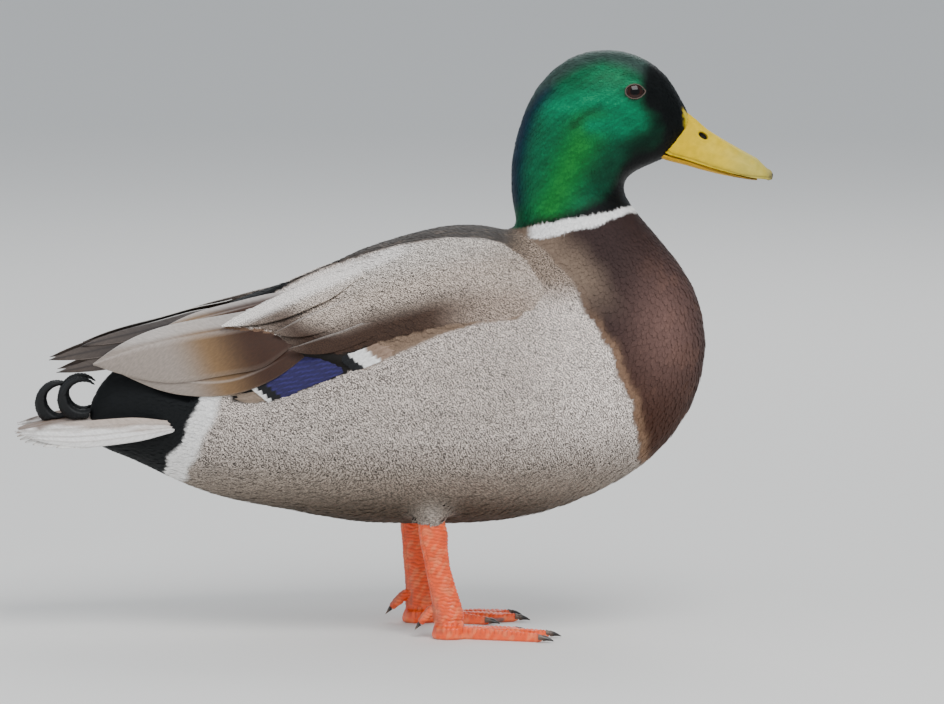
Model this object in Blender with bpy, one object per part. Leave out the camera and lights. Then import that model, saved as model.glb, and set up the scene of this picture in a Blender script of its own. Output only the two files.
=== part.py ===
"""A mallard drake standing at rest, life size, as a still model without joints.

The bird faces +X, its right side is -Y and the floor is z = 0. The origin lies on the floor under
the middle of the bird. Sizes below are in millimetres and the model is in metres.

The body is one loft of ribs that runs from the tail coverts along the trunk, turns up round the
breast, and goes through the neck to the face. It is parted into rump, vent, trunk, neck and head.
The folded wings are plates laid in beds on the trunk, one under the other like roof tiles.
"""
import math

import bmesh
import bpy
import numpy as np
from mathutils import Matrix, Vector

MM = 0.001
GAP = 0.3                   # clearance between neighbouring solids
RIB_POINTS = 24             # points round one section of the body
RINGS_PER_RIB = 2           # rings of the mesh for each rib of the table

# Ribs of the body, tail to face: upper end x and z, lower end x and z, half width, fullness of the
# section (2 is an ellipse) and the height of its widest place (0 lower end, 1 upper end).
BODY_RIBS = (
    (-174.5, 127.0, -172.0, 108.0, 11.0, 2.0, 0.50),
    (-168.5, 140.0, -166.0, 103.7, 19.0, 2.0, 0.48),
    (-159.0, 150.0, -152.0, 98.3, 26.0, 2.1, 0.46),
    (-140.0, 163.5, -137.0, 91.3, 32.5, 2.0, 0.48),
    (-118.0, 176.0, -118.0, 82.0, 41.0, 2.0, 0.49),
    (-90.0, 190.0, -90.0, 73.6, 52.0, 2.0, 0.50),
    (-60.0, 201.5, -60.0, 68.3, 61.5, 2.05, 0.50),
    (-25.0, 216.5, -25.0, 61.9, 69.0, 2.05, 0.51),
    (5.0, 226.3, 5.0, 60.4, 72.0, 2.05, 0.51),
    (30.0, 232.0, 40.0, 60.6, 72.0, 2.05, 0.51),
    (49.0, 232.2, 80.0, 65.6, 69.0, 2.1, 0.50),
    (58.0, 230.6, 114.6, 78.0, 64.0, 2.1, 0.50),
    (63.0, 229.4, 143.8, 95.5, 58.0, 2.1, 0.50),
    (66.0, 228.7, 169.2, 126.6, 50.0, 2.1, 0.50),
    (67.3, 228.8, 178.0, 163.0, 42.0, 2.1, 0.50),
    (68.0, 229.8, 171.0, 196.0, 35.0, 2.1, 0.50),
    (68.0, 232.4, 152.0, 223.0, 30.0, 2.1, 0.50),
    (67.2, 237.5, 137.0, 240.8, 26.2, 2.1, 0.50),
    (65.5, 248.0, 130.8, 250.6, 24.4, 2.1, 0.50),
    (64.9, 258.0, 131.4, 256.8, 23.8, 2.1, 0.50),
    (65.5, 268.0, 135.8, 260.8, 24.0, 2.1, 0.50),
    (69.3, 286.0, 143.0, 264.4, 24.4, 2.1, 0.50),
    (79.6, 310.0, 149.5, 266.8, 23.8, 2.1, 0.50),
    (98.6, 327.6, 154.0, 269.0, 22.8, 2.1, 0.48),
    (120.0, 332.4, 157.0, 271.4, 20.9, 2.1, 0.45),
    (139.4, 328.4, 158.8, 273.6, 17.8, 2.1, 0.43),
    (154.6, 317.2, 159.8, 275.2, 13.9, 2.2, 0.42),
    (163.5, 302.8, 160.3, 276.2, 10.8, 2.3, 0.42),
    (168.3, 293.6, 160.6, 277.0, 9.3, 2.4, 0.42),
)
RUMP_RIB, NECK_RIB, HEAD_RIB = 4, 16.6, 19      # ribs where the body is parted

# The same ribs as far as the shoulders, for the form that the folded wings lie on.
WING_RIBS = (
    (-206.0, 166.0, -203.0, 136.0, 13.0, 2.0, 0.50),
    (-185.0, 173.0, -181.0, 125.0, 20.5, 2.0, 0.50),
    (-165.0, 178.5, -160.0, 110.0, 28.0, 2.0, 0.48),
    (-140.0, 184.5, -138.0, 94.0, 36.0, 2.0, 0.48),
    (-118.0, 191.0, -118.0, 82.0, 44.0, 2.0, 0.48),
    (-90.0, 198.0, -90.0, 73.6, 53.5, 2.0, 0.49),
) + BODY_RIBS[6:17]

# Plates of a folded wing, front to tip: upper edge x and level, lower edge x and level, thickness.
# A level is a height less a part of the distance from the middle, so that it falls outwards.
LEVEL_FALL = 0.114
COVERTS = (
    (86.0, 200.0, 86.0, 192.0, 6.0),
    (72.0, 213.0, 68.0, 178.0, 9.0),
    (40.0, 222.5, 36.0, 169.5, 9.0),
    (3.0, 219.0, 5.0, 160.0, 5.0),
    (-30.0, 210.0, -19.0, 151.5, 2.6),
    (-60.0, 197.0, -43.0, 156.0, 2.6),
    (-84.0, 184.0, -72.0, 170.0, 2.2),
    (-96.5, 175.8, -96.0, 174.6, 1.6),
)
TERTIALS = (
    (-34.0, 205.0, -34.0, 158.5, 1.5),
    (-62.0, 195.0, -58.0, 151.5, 1.5),
    (-88.0, 184.0, -82.0, 134.0, 1.5),
    (-113.0, 177.5, -108.0, 132.8, 1.5),
    (-138.0, 167.0, -133.0, 139.0, 1.5),
    (-156.0, 159.0, -154.0, 148.3, 1.3),
    (-171.0, 152.6, -171.0, 151.6, 1.0),
)
SECONDARIES = (
    (-9.0, 156.5, -14.0, 151.3, 1.2),
    (-26.0, 161.0, -28.0, 146.0, 1.2),
    (-46.0, 160.0, -46.0, 139.3, 1.2),
    (-66.0, 152.0, -62.0, 132.3, 1.2),
    (-90.0, 139.0, -78.0, 128.6, 1.2),
)
PRIMARIES = (
    (-90.0, 181.0, -96.0, 150.0, 1.3),
    (-117.0, 173.5, -120.0, 150.5, 1.3),
    (-143.0, 166.0, -145.0, 151.0, 1.3),
    (-170.0, 160.5, -170.0, 150.0, 1.2),
    (-187.0, 156.5, -186.0, 148.0, 1.1),
    (-196.5, 153.6, -194.0, 146.4, 1.0),
)
# The plates with their finish and their depth below the wing's outer form.
WING_PLATES = {"coverts": (COVERTS, "coverts", 0.0), "tertials": (TERTIALS, "tertials", 3.5),
               "secondaries": (SECONDARIES, "speculum", 5.9),
               "primaries": (PRIMARIES, "primaries", 8.0)}
# The bed that the plates lie in: the outline round all of them, with the depth that it is given at.
BED_HEIGHT, BED_DEPTH = 5.0, 9.9
BED = (
    (87.0, 200.5, 87.0, 191.5, 0.0),
    (72.5, 214.0, 68.5, 177.2, 0.0),
    (40.0, 223.5, 36.0, 168.7, 0.0),
    (3.0, 220.0, 5.0, 159.2, 0.0),
    (-30.0, 212.0, -16.0, 150.0, 2.0),
    (-60.0, 199.0, -46.5, 138.0, 3.5),
    (-88.0, 187.0, -78.5, 126.5, 5.0),
    (-113.0, 178.0, -108.0, 129.5, 6.0),
    (-138.0, 169.5, -133.0, 136.5, 8.0),
    (-160.0, 164.5, -156.0, 145.5, 8.0),
    (-182.0, 160.0, -180.0, 146.0, 8.0),
)

# Tail fan, base to tip: x, height of its middle, fall of its edges, half width.
TAIL_ROWS = ((-119.5, 124.0, 5.0, 36.0), (-132.0, 124.0, 8.5, 33.5), (-144.0, 123.8, 11.8, 33.0),
             (-160.0, 123.3, 13.6, 33.5), (-176.0, 122.2, 13.0, 35.0), (-190.0, 120.5, 10.0, 35.0),
             (-202.0, 118.0, 6.0, 31.0), (-210.0, 115.6, 2.6, 23.0), (-215.0, 113.4, 0.6, 9.0))
TAIL_THICK, TAIL_CLEAR = 1.8, 0.75     # the coverts lie a little off the tail's arch
TAIL_BLOCK_X, TAIL_BLOCK_Y, TAIL_BLOCK_Z, TAIL_BLOCK_TALL = (-112.0, -214.0), 52.0, 112.0, 120.0

# Curled tail coverts: centre x and z, sideways place, start and end angle in degrees, lead-in.
CURL_RADIUS = 10.6
CURLS = {"front": (-177.4, 134.0, 9.2, -50.0, -318.0, 3.0),
         "rear": (-190.1, 130.9, 3.2, -76.0, -300.0, 16.5)}
CURL_WIDE, CURL_DEEP, CURL_TIP = 2.5, 3.7, 0.5          # half sizes of its section

# Bill: upper edge x and z, lower edge x and z, half width, fullness.
UPPER_BILL = ((163.0, 295.0, 152.5, 274.5, 8.8, 1.8), (168.7, 292.8, 159.0, 271.3, 9.6, 1.8),
              (174.0, 288.6, 168.0, 268.8, 9.2, 1.8), (180.5, 282.8, 177.0, 265.8, 9.0, 1.9),
              (188.0, 278.0, 186.0, 263.1, 9.4, 2.0), (196.0, 273.3, 195.0, 260.7, 10.4, 2.1),
              (203.0, 269.4, 202.5, 259.3, 11.4, 2.2), (208.5, 266.4, 208.0, 258.5, 10.9, 2.3),
              (212.5, 262.4, 212.0, 257.6, 7.8, 2.2), (214.6, 259.6, 214.2, 257.0, 4.2, 2.0))
LOWER_BILL = ((152.5, 273.0, 152.8, 269.3, 8.2, 2.0), (159.0, 270.9, 159.5, 267.2, 8.6, 2.0),
              (168.0, 268.4, 168.4, 265.0, 8.3, 2.0), (177.0, 265.4, 177.3, 262.4, 8.2, 2.0),
              (186.0, 262.7, 186.2, 260.2, 8.6, 2.0), (195.0, 260.3, 195.1, 258.4, 9.4, 2.0),
              (201.0, 259.1, 201.0, 257.5, 9.8, 2.0), (205.6, 258.4, 205.6, 257.0, 8.2, 2.0))
NAIL_CENTRE, NAIL_RADII = (211.9, 0.0, 260.2), (2.9, 3.2, 3.3)

EYE_PLACE, EYE_RADIUS, EYE_DEPTH = (135.3, 306.1), 7.2, 4.8     # x and level, depth of its centre

# Legs. The left one stands further back than the right one and is more upright.
LEG_SIDE, LEFT_SHIFT, LEFT_LEAN, KNEE_HEIGHT = 36.0, -10.0, 0.11, 68.0
THIGH_ROWS = ((94.0, 17.0, 18.0, 13.0), (82.0, 18.6, 13.6, 12.0), (74.5, 19.7, 9.9, 9.6),
              (67.9, 20.6, 7.6, 6.3))           # z, x, half length and half width
SHANK_ROWS = ((67.6, 20.6, 6.9, 5.0), (61.0, 21.2, 7.5, 5.5), (54.5, 22.4, 7.8, 5.6),
              (47.0, 23.2, 6.9, 4.8), (36.0, 24.8, 6.6, 4.2), (26.0, 27.2, 7.0, 4.3),
              (16.0, 29.6, 7.8, 4.9), (7.3, 31.0, 8.6, 6.2))
FOOT_X, FOOT_TOP, HEEL_RADIUS = 31.0, 7.0, 9.5
WEB_TOP, WEB_BOTTOM, TOE_TOP, TOE_HALF = 1.9, 0.7, 6.2, 3.5
TOES = {"outer": (-19.0, 56.0, 0.86), "middle": (1.0, 57.0, 0.86), "inner": (21.0, 43.0, 0.9)}
TOE_SWELLINGS = (0.32, 0.62, 0.9)               # where a toe's joints are, as parts of its length
SWELL_SIZE, SWELL_LENGTH, TOE_TAPER, TOE_FOOT = 0.1, 0.07, 0.3, 1.15
NOTCH_POWER, SIDE_DEGREES, PAD_SLOPE = 0.6, 6.0, 4.0
FOOT_STEPS = (0.16, 0.3, 0.48, 0.66, 0.84, 0.95, 1.0)       # rings of the foot's mesh
PAD_ANGLES = (34.0, 60.0, 100.0, 140.0, 180.0, 220.0, 260.0, 300.0, 328.0)
CLAW_LENGTH, CLAW_RADIUS = 6.5, 2.1
HALLUX_ROWS = ((23.2, 17.5, 2.9), (20.6, 15.2, 3.3), (17.4, 11.6, 3.1), (14.6, 8.3, 2.3))

COLOURS = {
    "head": ("#0f8a5c", 0.35, 0.3), "neck": ("#1f5c3c", 0.4, 0.3), "flank": ("#b5aea8", 0.85, 0.0),
    "black": ("#0c1012", 0.5, 0.0), "tail": ("#e6e2de", 0.7, 0.0),
    "coverts": ("#b3a294", 0.8, 0.0), "tertials": ("#8c7a6e", 0.7, 0.0),
    "speculum": ("#3a3a7c", 0.4, 0.2), "primaries": ("#4a403c", 0.7, 0.0),
    "bill": ("#d8c64a", 0.45, 0.0), "nail": ("#2a2620", 0.4, 0.0), "eye": ("#1c100a", 0.08, 0.0),
    "leg": ("#e8683a", 0.5, 0.0), "claw": ("#3a302c", 0.45, 0.0),
}


def clear_scene():
    """Removes every object from the scene."""
    for old in list(bpy.data.objects):
        bpy.data.objects.remove(old, do_unlink=True)


def to_linear(code):
    """Turns an sRGB hex colour into linear values."""
    values = [int(code[i:i + 2], 16) / 255 for i in (1, 3, 5)]
    return [v / 12.92 if v <= 0.04045 else ((v + 0.055) / 1.055) ** 2.4 for v in values]


def material(finish):
    """Gives the named finish, made once."""
    found = bpy.data.materials.get(finish)
    if found:
        return found
    colour, roughness, metallic = COLOURS[finish]
    made = bpy.data.materials.new(finish)
    made.use_nodes = True
    shader = made.node_tree.nodes["Principled BSDF"]
    shader.inputs["Base Color"].default_value = (*to_linear(colour), 1.0)
    shader.inputs["Roughness"].default_value = roughness
    shader.inputs["Metallic"].default_value = metallic
    return made


def object_from(bm, name, finish, sharp_degrees=50.0):
    """Makes an object of a bmesh, in metres, closed and facing out."""
    bmesh.ops.recalc_face_normals(bm, faces=bm.faces)
    bmesh.ops.scale(bm, vec=(MM, MM, MM), verts=bm.verts)
    mesh = bpy.data.meshes.new(name)
    bm.to_mesh(mesh)
    bm.free()
    mesh.shade_smooth()
    mesh.set_sharp_from_angle(angle=math.radians(sharp_degrees))
    mesh.materials.append(material(finish))
    made = bpy.data.objects.new(name, mesh)
    bpy.context.collection.objects.link(made)
    return made


def tube_bmesh(rings):
    """Joins closed rings, each with the same number of points, and caps both ends."""
    bm = bmesh.new()
    loops = [[bm.verts.new(point) for point in ring] for ring in rings]
    for lower, upper in zip(loops, loops[1:]):
        for i in range(len(lower)):
            j = (i + 1) % len(lower)
            bm.faces.new((lower[i], lower[j], upper[j], upper[i]))
    bm.faces.new(loops[0])
    bm.faces.new(loops[-1])
    return bm


def shell_bmesh(outer, inner):
    """Joins two grids of points, one above the other, into a closed plate."""
    bm = bmesh.new()
    rows, columns = len(outer), len(outer[0])
    sheets = [[[bm.verts.new(p) for p in row] for row in grid] for grid in (outer, inner)]
    for sheet in sheets:
        for i in range(rows - 1):
            for j in range(columns - 1):
                bm.faces.new((sheet[i][j], sheet[i + 1][j], sheet[i + 1][j + 1], sheet[i][j + 1]))
    rim = [(i, 0) for i in range(rows)] + [(rows - 1, j) for j in range(1, columns)]
    rim += [(i, columns - 1) for i in range(rows - 2, -1, -1)]
    rim += [(0, j) for j in range(columns - 2, 0, -1)]
    for (i, j), (k, m) in zip(rim, rim[1:] + rim[:1]):
        bm.faces.new((sheets[0][i][j], sheets[0][k][m], sheets[1][k][m], sheets[1][i][j]))
    return bm


def cut(target, cutter):
    """Takes the cutter's shape out of the target."""
    boolean = target.modifiers.new("cut", "BOOLEAN")
    boolean.operation = "DIFFERENCE"
    boolean.solver = "EXACT"
    boolean.object = cutter
    cutter.hide_render = True
    cutter.display_type = "WIRE"


def mirrored(bm):
    """Turns a right-hand shape into a left-hand one."""
    bmesh.ops.scale(bm, vec=(1, -1, 1), verts=bm.verts)
    return bm


def smooth_rows(rows, knots, place):
    """Reads a table of rows on a smooth curve through all of them."""
    rows, knots = np.asarray(rows, float), np.asarray(knots, float)
    slopes = np.gradient(rows, knots, axis=0)
    i = int(np.clip(np.searchsorted(knots, place) - 1, 0, len(knots) - 2))
    span = knots[i + 1] - knots[i]
    t = (place - knots[i]) / span
    return ((2 * t ** 3 - 3 * t ** 2 + 1) * rows[i] + (t ** 3 - 2 * t ** 2 + t) * span * slopes[i]
            + (3 * t ** 2 - 2 * t ** 3) * rows[i + 1] + (t ** 3 - t ** 2) * span * slopes[i + 1])


def resampled(rows, steps):
    """Gives a table of rows with each interval divided into equal steps."""
    knots = range(len(rows))
    return [smooth_rows(rows, knots, i / steps) for i in range((len(rows) - 1) * steps + 1)]


class Loft:
    """A closed form through ribs, each an oval that stands between an upper and a lower end."""

    def __init__(self, ribs):
        self.ribs = np.array(ribs, float)
        moves = np.diff(self.ribs, axis=0)
        steps = np.hypot(moves[:, 0], moves[:, 1]) + np.hypot(moves[:, 2], moves[:, 3])
        self.knots = np.concatenate(([0.0], np.cumsum(steps)))
        self.search = None

    def knot(self, rib):
        """Gives the place along the loft of a rib's number, which may have a fraction."""
        return float(np.interp(rib, range(len(self.knots)), self.knots))

    def point(self, place, angle, inset=0.0, shift=0.0):
        """Gives the point at an angle from the top, moved in, or moved along the loft."""
        row = smooth_rows(self.ribs, self.knots, place)
        top, low = row[0:2], row[2:4]
        half = np.hypot(*(top - low)) / 2
        axis = (top - low) / (2 * half)
        power = 2 / row[5]
        rise = math.copysign(abs(math.cos(angle)) ** power, math.cos(angle))
        side = math.copysign(abs(math.sin(angle)) ** power, math.sin(angle))
        height = (1 + rise) / 2
        height += 4 * (row[6] - 0.5) * height * (1 - height)
        middle = (top + low) / 2 + shift * np.array([axis[1], -axis[0]])
        flat = middle + axis * (half - inset) * (2 * height - 1)
        return np.array([flat[0], (row[4] - inset) * side, flat[1]])

    def ring(self, place, inset=0.0, shift=0.0, count=RIB_POINTS):
        """Gives one section of the loft."""
        return [self.point(place, math.tau * (i + 0.5) / count, inset, shift) for i in range(count)]

    def rings(self, first, last, inset=0.0, shifts=(0.0, 0.0)):
        """Gives the sections between two ribs, the end ones moved along the loft."""
        inner = [i / RINGS_PER_RIB for i in range(len(self.ribs) * RINGS_PER_RIB)]
        inner = [i for i in inner if first + 0.15 < i < last - 0.15]
        rings = [self.ring(self.knot(first), inset, shifts[0])]
        rings += [self.ring(self.knot(i), inset) for i in inner]
        return rings + [self.ring(self.knot(last), inset, shifts[1])]

    def level(self, place, angle, inset=0.0):
        """Gives x and level of a point on the +Y side."""
        x, y, z = self.point(place, angle, inset)
        return np.array([x, z - LEVEL_FALL * y])

    def find(self, x, level, inset):
        """Gives the place and angle where the inset form has this x and level, on the +Y side."""
        if self.search is None:
            places = np.linspace(0, self.knots[-1], 70)
            self.search = [(p, a) for p in places for a in np.linspace(0.1, 3.0, 30)]
            self.samples = np.array([self.level(p, a) for p, a in self.search])
        nearest = np.argmin(((self.samples - (x, level)) ** 2).sum(axis=1))
        state = np.array(self.search[nearest])
        for _ in range(8):
            here = self.level(*state, inset)
            along = (self.level(state[0] + 0.5, state[1], inset) - here) / 0.5
            around = (self.level(state[0], state[1] + 0.01, inset) - here) / 0.01
            step = np.linalg.lstsq(np.array([along, around]).T, (x, level) - here, rcond=None)[0]
            state = state + np.clip(step, (-20, -0.3), (20, 0.3))
            state = np.clip(state, (0, 0.05), (self.knots[-1], 3.1))
        return state


BODY, WING = Loft(BODY_RIBS), Loft(WING_RIBS)


def tail_row(x):
    """Gives height of the middle, fall of the edges and half width of the tail at x."""
    rows = np.array(TAIL_ROWS)[::-1]
    return smooth_rows(rows[:, 1:], rows[:, 0], x)


def tail_height(x, y):
    """Gives the height of the arched tail."""
    middle, fall, half = tail_row(x)
    return middle - fall * (y / half) ** 2


def block_beside_tail(name, side):
    """Makes a cutter that holds all above (side 1) or below (side -1) the tail's middle sheet."""
    clear = -side * (TAIL_THICK / 2 + TAIL_CLEAR)
    xs, ys = np.linspace(*TAIL_BLOCK_X, 18), np.linspace(-TAIL_BLOCK_Y, TAIL_BLOCK_Y, 19)
    near = np.clip(xs, TAIL_ROWS[-2][0], TAIL_ROWS[0][0])
    sheet = [[(x, y, tail_height(n, y) + clear) for y in ys] for x, n in zip(xs, near)]
    far = [[(x, y, TAIL_BLOCK_Z + side * TAIL_BLOCK_TALL) for y in ys] for x in xs]
    return object_from(shell_bmesh(sheet, far), name, "black")


def make_flesh():
    """Makes rump, vent, trunk, neck and head, which part along ribs of the body."""
    last, half = len(BODY_RIBS) - 1, GAP / 2
    flesh = {}
    spans = {"rump": (0, RUMP_RIB, "black"), "vent": (0, RUMP_RIB, "black"),
             "trunk": (RUMP_RIB, NECK_RIB, "flank"), "neck": (NECK_RIB, HEAD_RIB, "neck"),
             "head": (HEAD_RIB, last, "head")}
    for name, (first, end, finish) in spans.items():
        shifts = (half if first else 0.0, -half if end < last else 0.0)
        flesh[name] = object_from(tube_bmesh(BODY.rings(first, end, 0.0, shifts)), name, finish)
    return flesh


def body_cutter():
    """Makes the whole body, a gap larger, to trim what grows out of it."""
    rings = BODY.rings(0, len(BODY_RIBS) - 1, -GAP, (-GAP, GAP))
    return object_from(tube_bmesh(rings), "body_cutter", "black")


def plate_bmesh(rows, sign, given, high, low, across=5):
    """Makes a plate between two depths below the wing's outer form, for an outline given at a third."""
    sheets = ([], [])
    for row, *depths in zip(rows, given, high, low):
        spots = [row[0:2] + (row[2:4] - row[0:2]) * j / across for j in range(across + 1)]
        places = [WING.find(*spot, depths[0]) for spot in spots]
        for sheet, depth in zip(sheets, depths[1:]):
            sheet.append([WING.point(*place, depth) for place in places])
    bm = shell_bmesh(*sheets)
    return bm if sign > 0 else mirrored(bm)


def make_wing(side, sign, flesh):
    """Makes the plates of one folded wing and the bed for them in the trunk and rump."""
    for part, (table, finish, depth) in WING_PLATES.items():
        rows = resampled(table, 2)
        level, low = [depth] * len(rows), [depth + row[4] for row in rows]
        object_from(plate_bmesh(rows, sign, level, level, low), f"wing_{side}_{part}", finish)
    rows = resampled(BED, 2)
    high, low = [-BED_HEIGHT] * len(rows), [BED_DEPTH] * len(rows)
    bm = plate_bmesh(rows, sign, [row[4] for row in rows], high, low)
    bed = object_from(bm, f"bed_{side}", "black")
    cut(flesh["trunk"], bed)
    cut(flesh["rump"], bed)


def make_tail():
    """Makes the arched fan of tail feathers."""
    columns = np.linspace(-1, 1, 13)
    rows = TAIL_ROWS
    sheets = ([], [])
    for i, (x, middle, fall, half) in enumerate(rows):
        thick = TAIL_THICK * (1 - 0.45 * i / (len(rows) - 1)) / 2
        for sheet, offset in zip(sheets, (thick, -thick)):
            sheet.append([(x, half * v, middle - fall * v * v + offset) for v in columns])
    object_from(shell_bmesh(*sheets), "tail", "tail")


def make_curl(name, sign, numbers, cutters):
    """Makes one curled covert: a flat horn that leaves the rump, turns back, up and forward."""
    x, z, aside, start, end, lead = numbers
    steps, around, rings = 13, 6, []
    for i in range(-2, steps + 1):
        part = max(i, 0) / steps
        turn = math.radians(start + (end - start) * part)
        centre = np.array([x + CURL_RADIUS * math.cos(turn), z + CURL_RADIUS * math.sin(turn)])
        if i < 0:
            centre += np.array([-math.sin(turn), math.cos(turn)]) * lead * -i / 2
        outward = np.array([math.cos(turn), math.sin(turn)])
        swell = 0.75 + 0.25 * math.sin(math.pi * min(part * 1.6, 1))
        wide = CURL_WIDE * (1 - part ** 4) + CURL_TIP
        deep = CURL_DEEP * (1 - part ** 3) * swell + CURL_TIP
        ring = []
        for j in range(around):
            a = math.tau * j / around
            flat = centre + outward * deep * math.cos(a)
            ring.append((flat[0], sign * (aside + wide * math.sin(a)), flat[1]))
        rings.append(ring)
    curl = object_from(tube_bmesh(rings), name, "black")
    for cutter in cutters:
        cut(curl, cutter)


def bill_rings(rows, flat_low):
    """Gives sections of one half of the bill: an arch that closes with a flat side."""
    rings = []
    for row in np.array(rows):
        top, low, half, power = row[0:2], row[2:4], row[4], 2 / row[5]
        base, crest = (low, top) if flat_low else (top, low)
        ring = []
        for i in range(9):
            turn = math.pi * i / 8
            side = math.copysign(abs(math.cos(turn)) ** power, math.cos(turn))
            flat = base + (crest - base) * math.sin(turn) ** power
            ring.append((flat[0], half * side, flat[1]))
        for y in (-half / 2, 0.0, half / 2):
            ring.append((base[0], y, base[1]))
        rings.append(ring)
    return rings


def ball_bmesh(centre, radii):
    """Makes a ball, or an egg, whose poles point sideways."""
    bm = bmesh.new()
    bmesh.ops.create_uvsphere(bm, u_segments=16, v_segments=8, radius=1.0)
    place = Matrix.Translation(centre) @ Matrix.Diagonal((*radii, 1.0))
    bmesh.ops.transform(bm, matrix=place @ Matrix.Rotation(math.pi / 2, 4, "X"), verts=bm.verts)
    return bm


def make_bill(cutter):
    """Makes the upper and lower half of the bill and the dark nail at its tip."""
    upper = object_from(tube_bmesh(bill_rings(UPPER_BILL, True)), "bill_upper", "bill")
    lower = object_from(tube_bmesh(bill_rings(LOWER_BILL, False)), "bill_lower", "bill")
    cut(upper, cutter)
    cut(lower, cutter)
    object_from(ball_bmesh(NAIL_CENTRE, NAIL_RADII), "bill_nail", "nail")
    grown = [r + GAP * 1.3 for r in NAIL_RADII]
    bed = object_from(ball_bmesh(NAIL_CENTRE, grown), "nail_bed", "nail")
    cut(upper, bed)


def make_eyes(head):
    """Makes both eyes, set in round sockets of the head."""
    place, angle = BODY.find(*EYE_PLACE, 0.0)
    cheek = BODY.point(place, angle)
    for side, sign in (("right", -1), ("left", 1)):
        centre = (cheek[0], sign * (cheek[1] - EYE_DEPTH), cheek[2])
        object_from(ball_bmesh(centre, [EYE_RADIUS] * 3), f"eye_{side}", "eye")
        socket = object_from(ball_bmesh(centre, [EYE_RADIUS + GAP * 1.3] * 3), f"socket_{side}", "eye")
        cut(head, socket)


def standing_rings(rows, count):
    """Gives level ovals for rows of z, x, half length and half width."""
    rings = []
    for z, x, length, width in rows:
        turns = [math.tau * i / count for i in range(count)]
        rings.append([(x + length * math.cos(t), width * math.sin(t), z) for t in turns])
    return rings


def foot_outline(angle):
    """Gives the reach of the foot at an angle in degrees from straight ahead, outer side negative."""
    toes = sorted(TOES.values())
    (first, reach, _), (last, far, _) = toes[0], toes[-1]
    beyond = max(first - angle, angle - last)
    if beyond > 0:
        toe = reach if angle < first else far
        return HEEL_RADIUS + (toe - HEEL_RADIUS) * max(0.0, 1 - beyond / SIDE_DEGREES) ** 2
    for (a, near, notch), (b, next_toe, _) in zip(toes, toes[1:]):
        if a <= angle <= b:
            part = (angle - a) / (b - a)
            edge = near + (next_toe - near) * part
            return edge * (1 - (1 - notch) * math.sin(math.pi * part) ** NOTCH_POWER)
    return HEEL_RADIUS


def foot_heights(x, y):
    """Gives the foot's top and bottom at a place measured from its middle."""
    top, low, away = WEB_TOP, WEB_BOTTOM, math.hypot(x, y)
    for angle, length, _ in TOES.values():
        ahead = (math.cos(math.radians(angle)), math.sin(math.radians(angle)))
        along, off = x * ahead[0] + y * ahead[1], abs(x * -ahead[1] + y * ahead[0])
        bumps = [math.exp(-((along / length - s) / SWELL_LENGTH) ** 2) for s in TOE_SWELLINGS]
        swell = 1 + SWELL_SIZE * sum(bumps)
        half = TOE_HALF * swell * TOE_FOOT
        if along > 0 and off < half:
            crown = math.sqrt(max(0.0, 1 - (off / half) ** 2))
            height = TOE_TOP * swell * (1 - TOE_TAPER * min(along / length, 1) ** 2)
            top, low = max(top, WEB_TOP + (height - WEB_TOP) * crown), 0.0
    hub = min(1.0, max(0.0, (HEEL_RADIUS + PAD_SLOPE - 1.0 - away) / PAD_SLOPE))
    top = max(top, WEB_TOP + (FOOT_TOP - WEB_TOP) * hub ** 0.5)
    return top, 0.0 if away < HEEL_RADIUS - 1.0 else low


def foot_bmesh():
    """Makes a webbed foot round its own middle: toes with flat soles, and webs a little higher."""
    angles = []
    for angle, length, _ in sorted(TOES.values()):
        spread = math.degrees(math.asin(TOE_HALF / (length * 0.6)))
        angles += [angle + spread * f for f in (-TOE_FOOT, -0.6, 0.0, 0.6, TOE_FOOT)]
        angles.append(angle + 10.0)
    angles = angles[:-1] + list(PAD_ANGLES)
    bm, sheets = bmesh.new(), ([], [])
    for angle in angles:
        reach = foot_outline(angle if angle < 180 else angle - 360)
        turn = math.radians(angle)
        lines = ([], [])
        for step in FOOT_STEPS:
            away = max(step * reach, HEEL_RADIUS * 0.45) if step < 1 else reach
            away = HEEL_RADIUS * step if reach < HEEL_RADIUS + 1 else away
            x, y = away * math.cos(turn), away * math.sin(turn)
            top, low = foot_heights(x, y)
            if step == 1.0:
                top, low = low + (top - low) * 0.6, low + (top - low) * 0.25
            lines[0].append(bm.verts.new((x, y, top)))
            lines[1].append(bm.verts.new((x, y, low)))
        for sheet, line in zip(sheets, lines):
            sheet.append(line)
    centres = [bm.verts.new((0, 0, FOOT_TOP)), bm.verts.new((0, 0, 0))]
    count = len(angles)
    for sheet, centre in zip(sheets, centres):
        for i in range(count):
            here, beside = sheet[i], sheet[(i + 1) % count]
            bm.faces.new((centre, here[0], beside[0]))
            for j in range(len(here) - 1):
                bm.faces.new((here[j], here[j + 1], beside[j + 1], beside[j]))
    for i in range(count):
        k = (i + 1) % count
        bm.faces.new((sheets[0][i][-1], sheets[0][k][-1], sheets[1][k][-1], sheets[1][i][-1]))
    return bm


def horn_bmesh(start, along, length, radius, fall, lowest=0.4, around=6):
    """Makes a pointed, slightly drooping cone such as a claw."""
    start, along = Vector(start), Vector(along).normalized()
    aside = along.cross(Vector((0, 0, 1))).normalized()
    upward = aside.cross(along)
    rings = []
    for part in (0.0, 0.35, 0.7, 1.0):
        centre = start + along * length * part - Vector((0, 0, fall * part * part))
        size = radius * (1 - 0.86 * part)
        ring = [centre + aside * size * math.cos(math.tau * i / around)
                + upward * size * math.sin(math.tau * i / around) for i in range(around)]
        rings.append([(p.x, p.y, max(p.z, lowest)) for p in ring])
    return tube_bmesh(rings)


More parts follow.
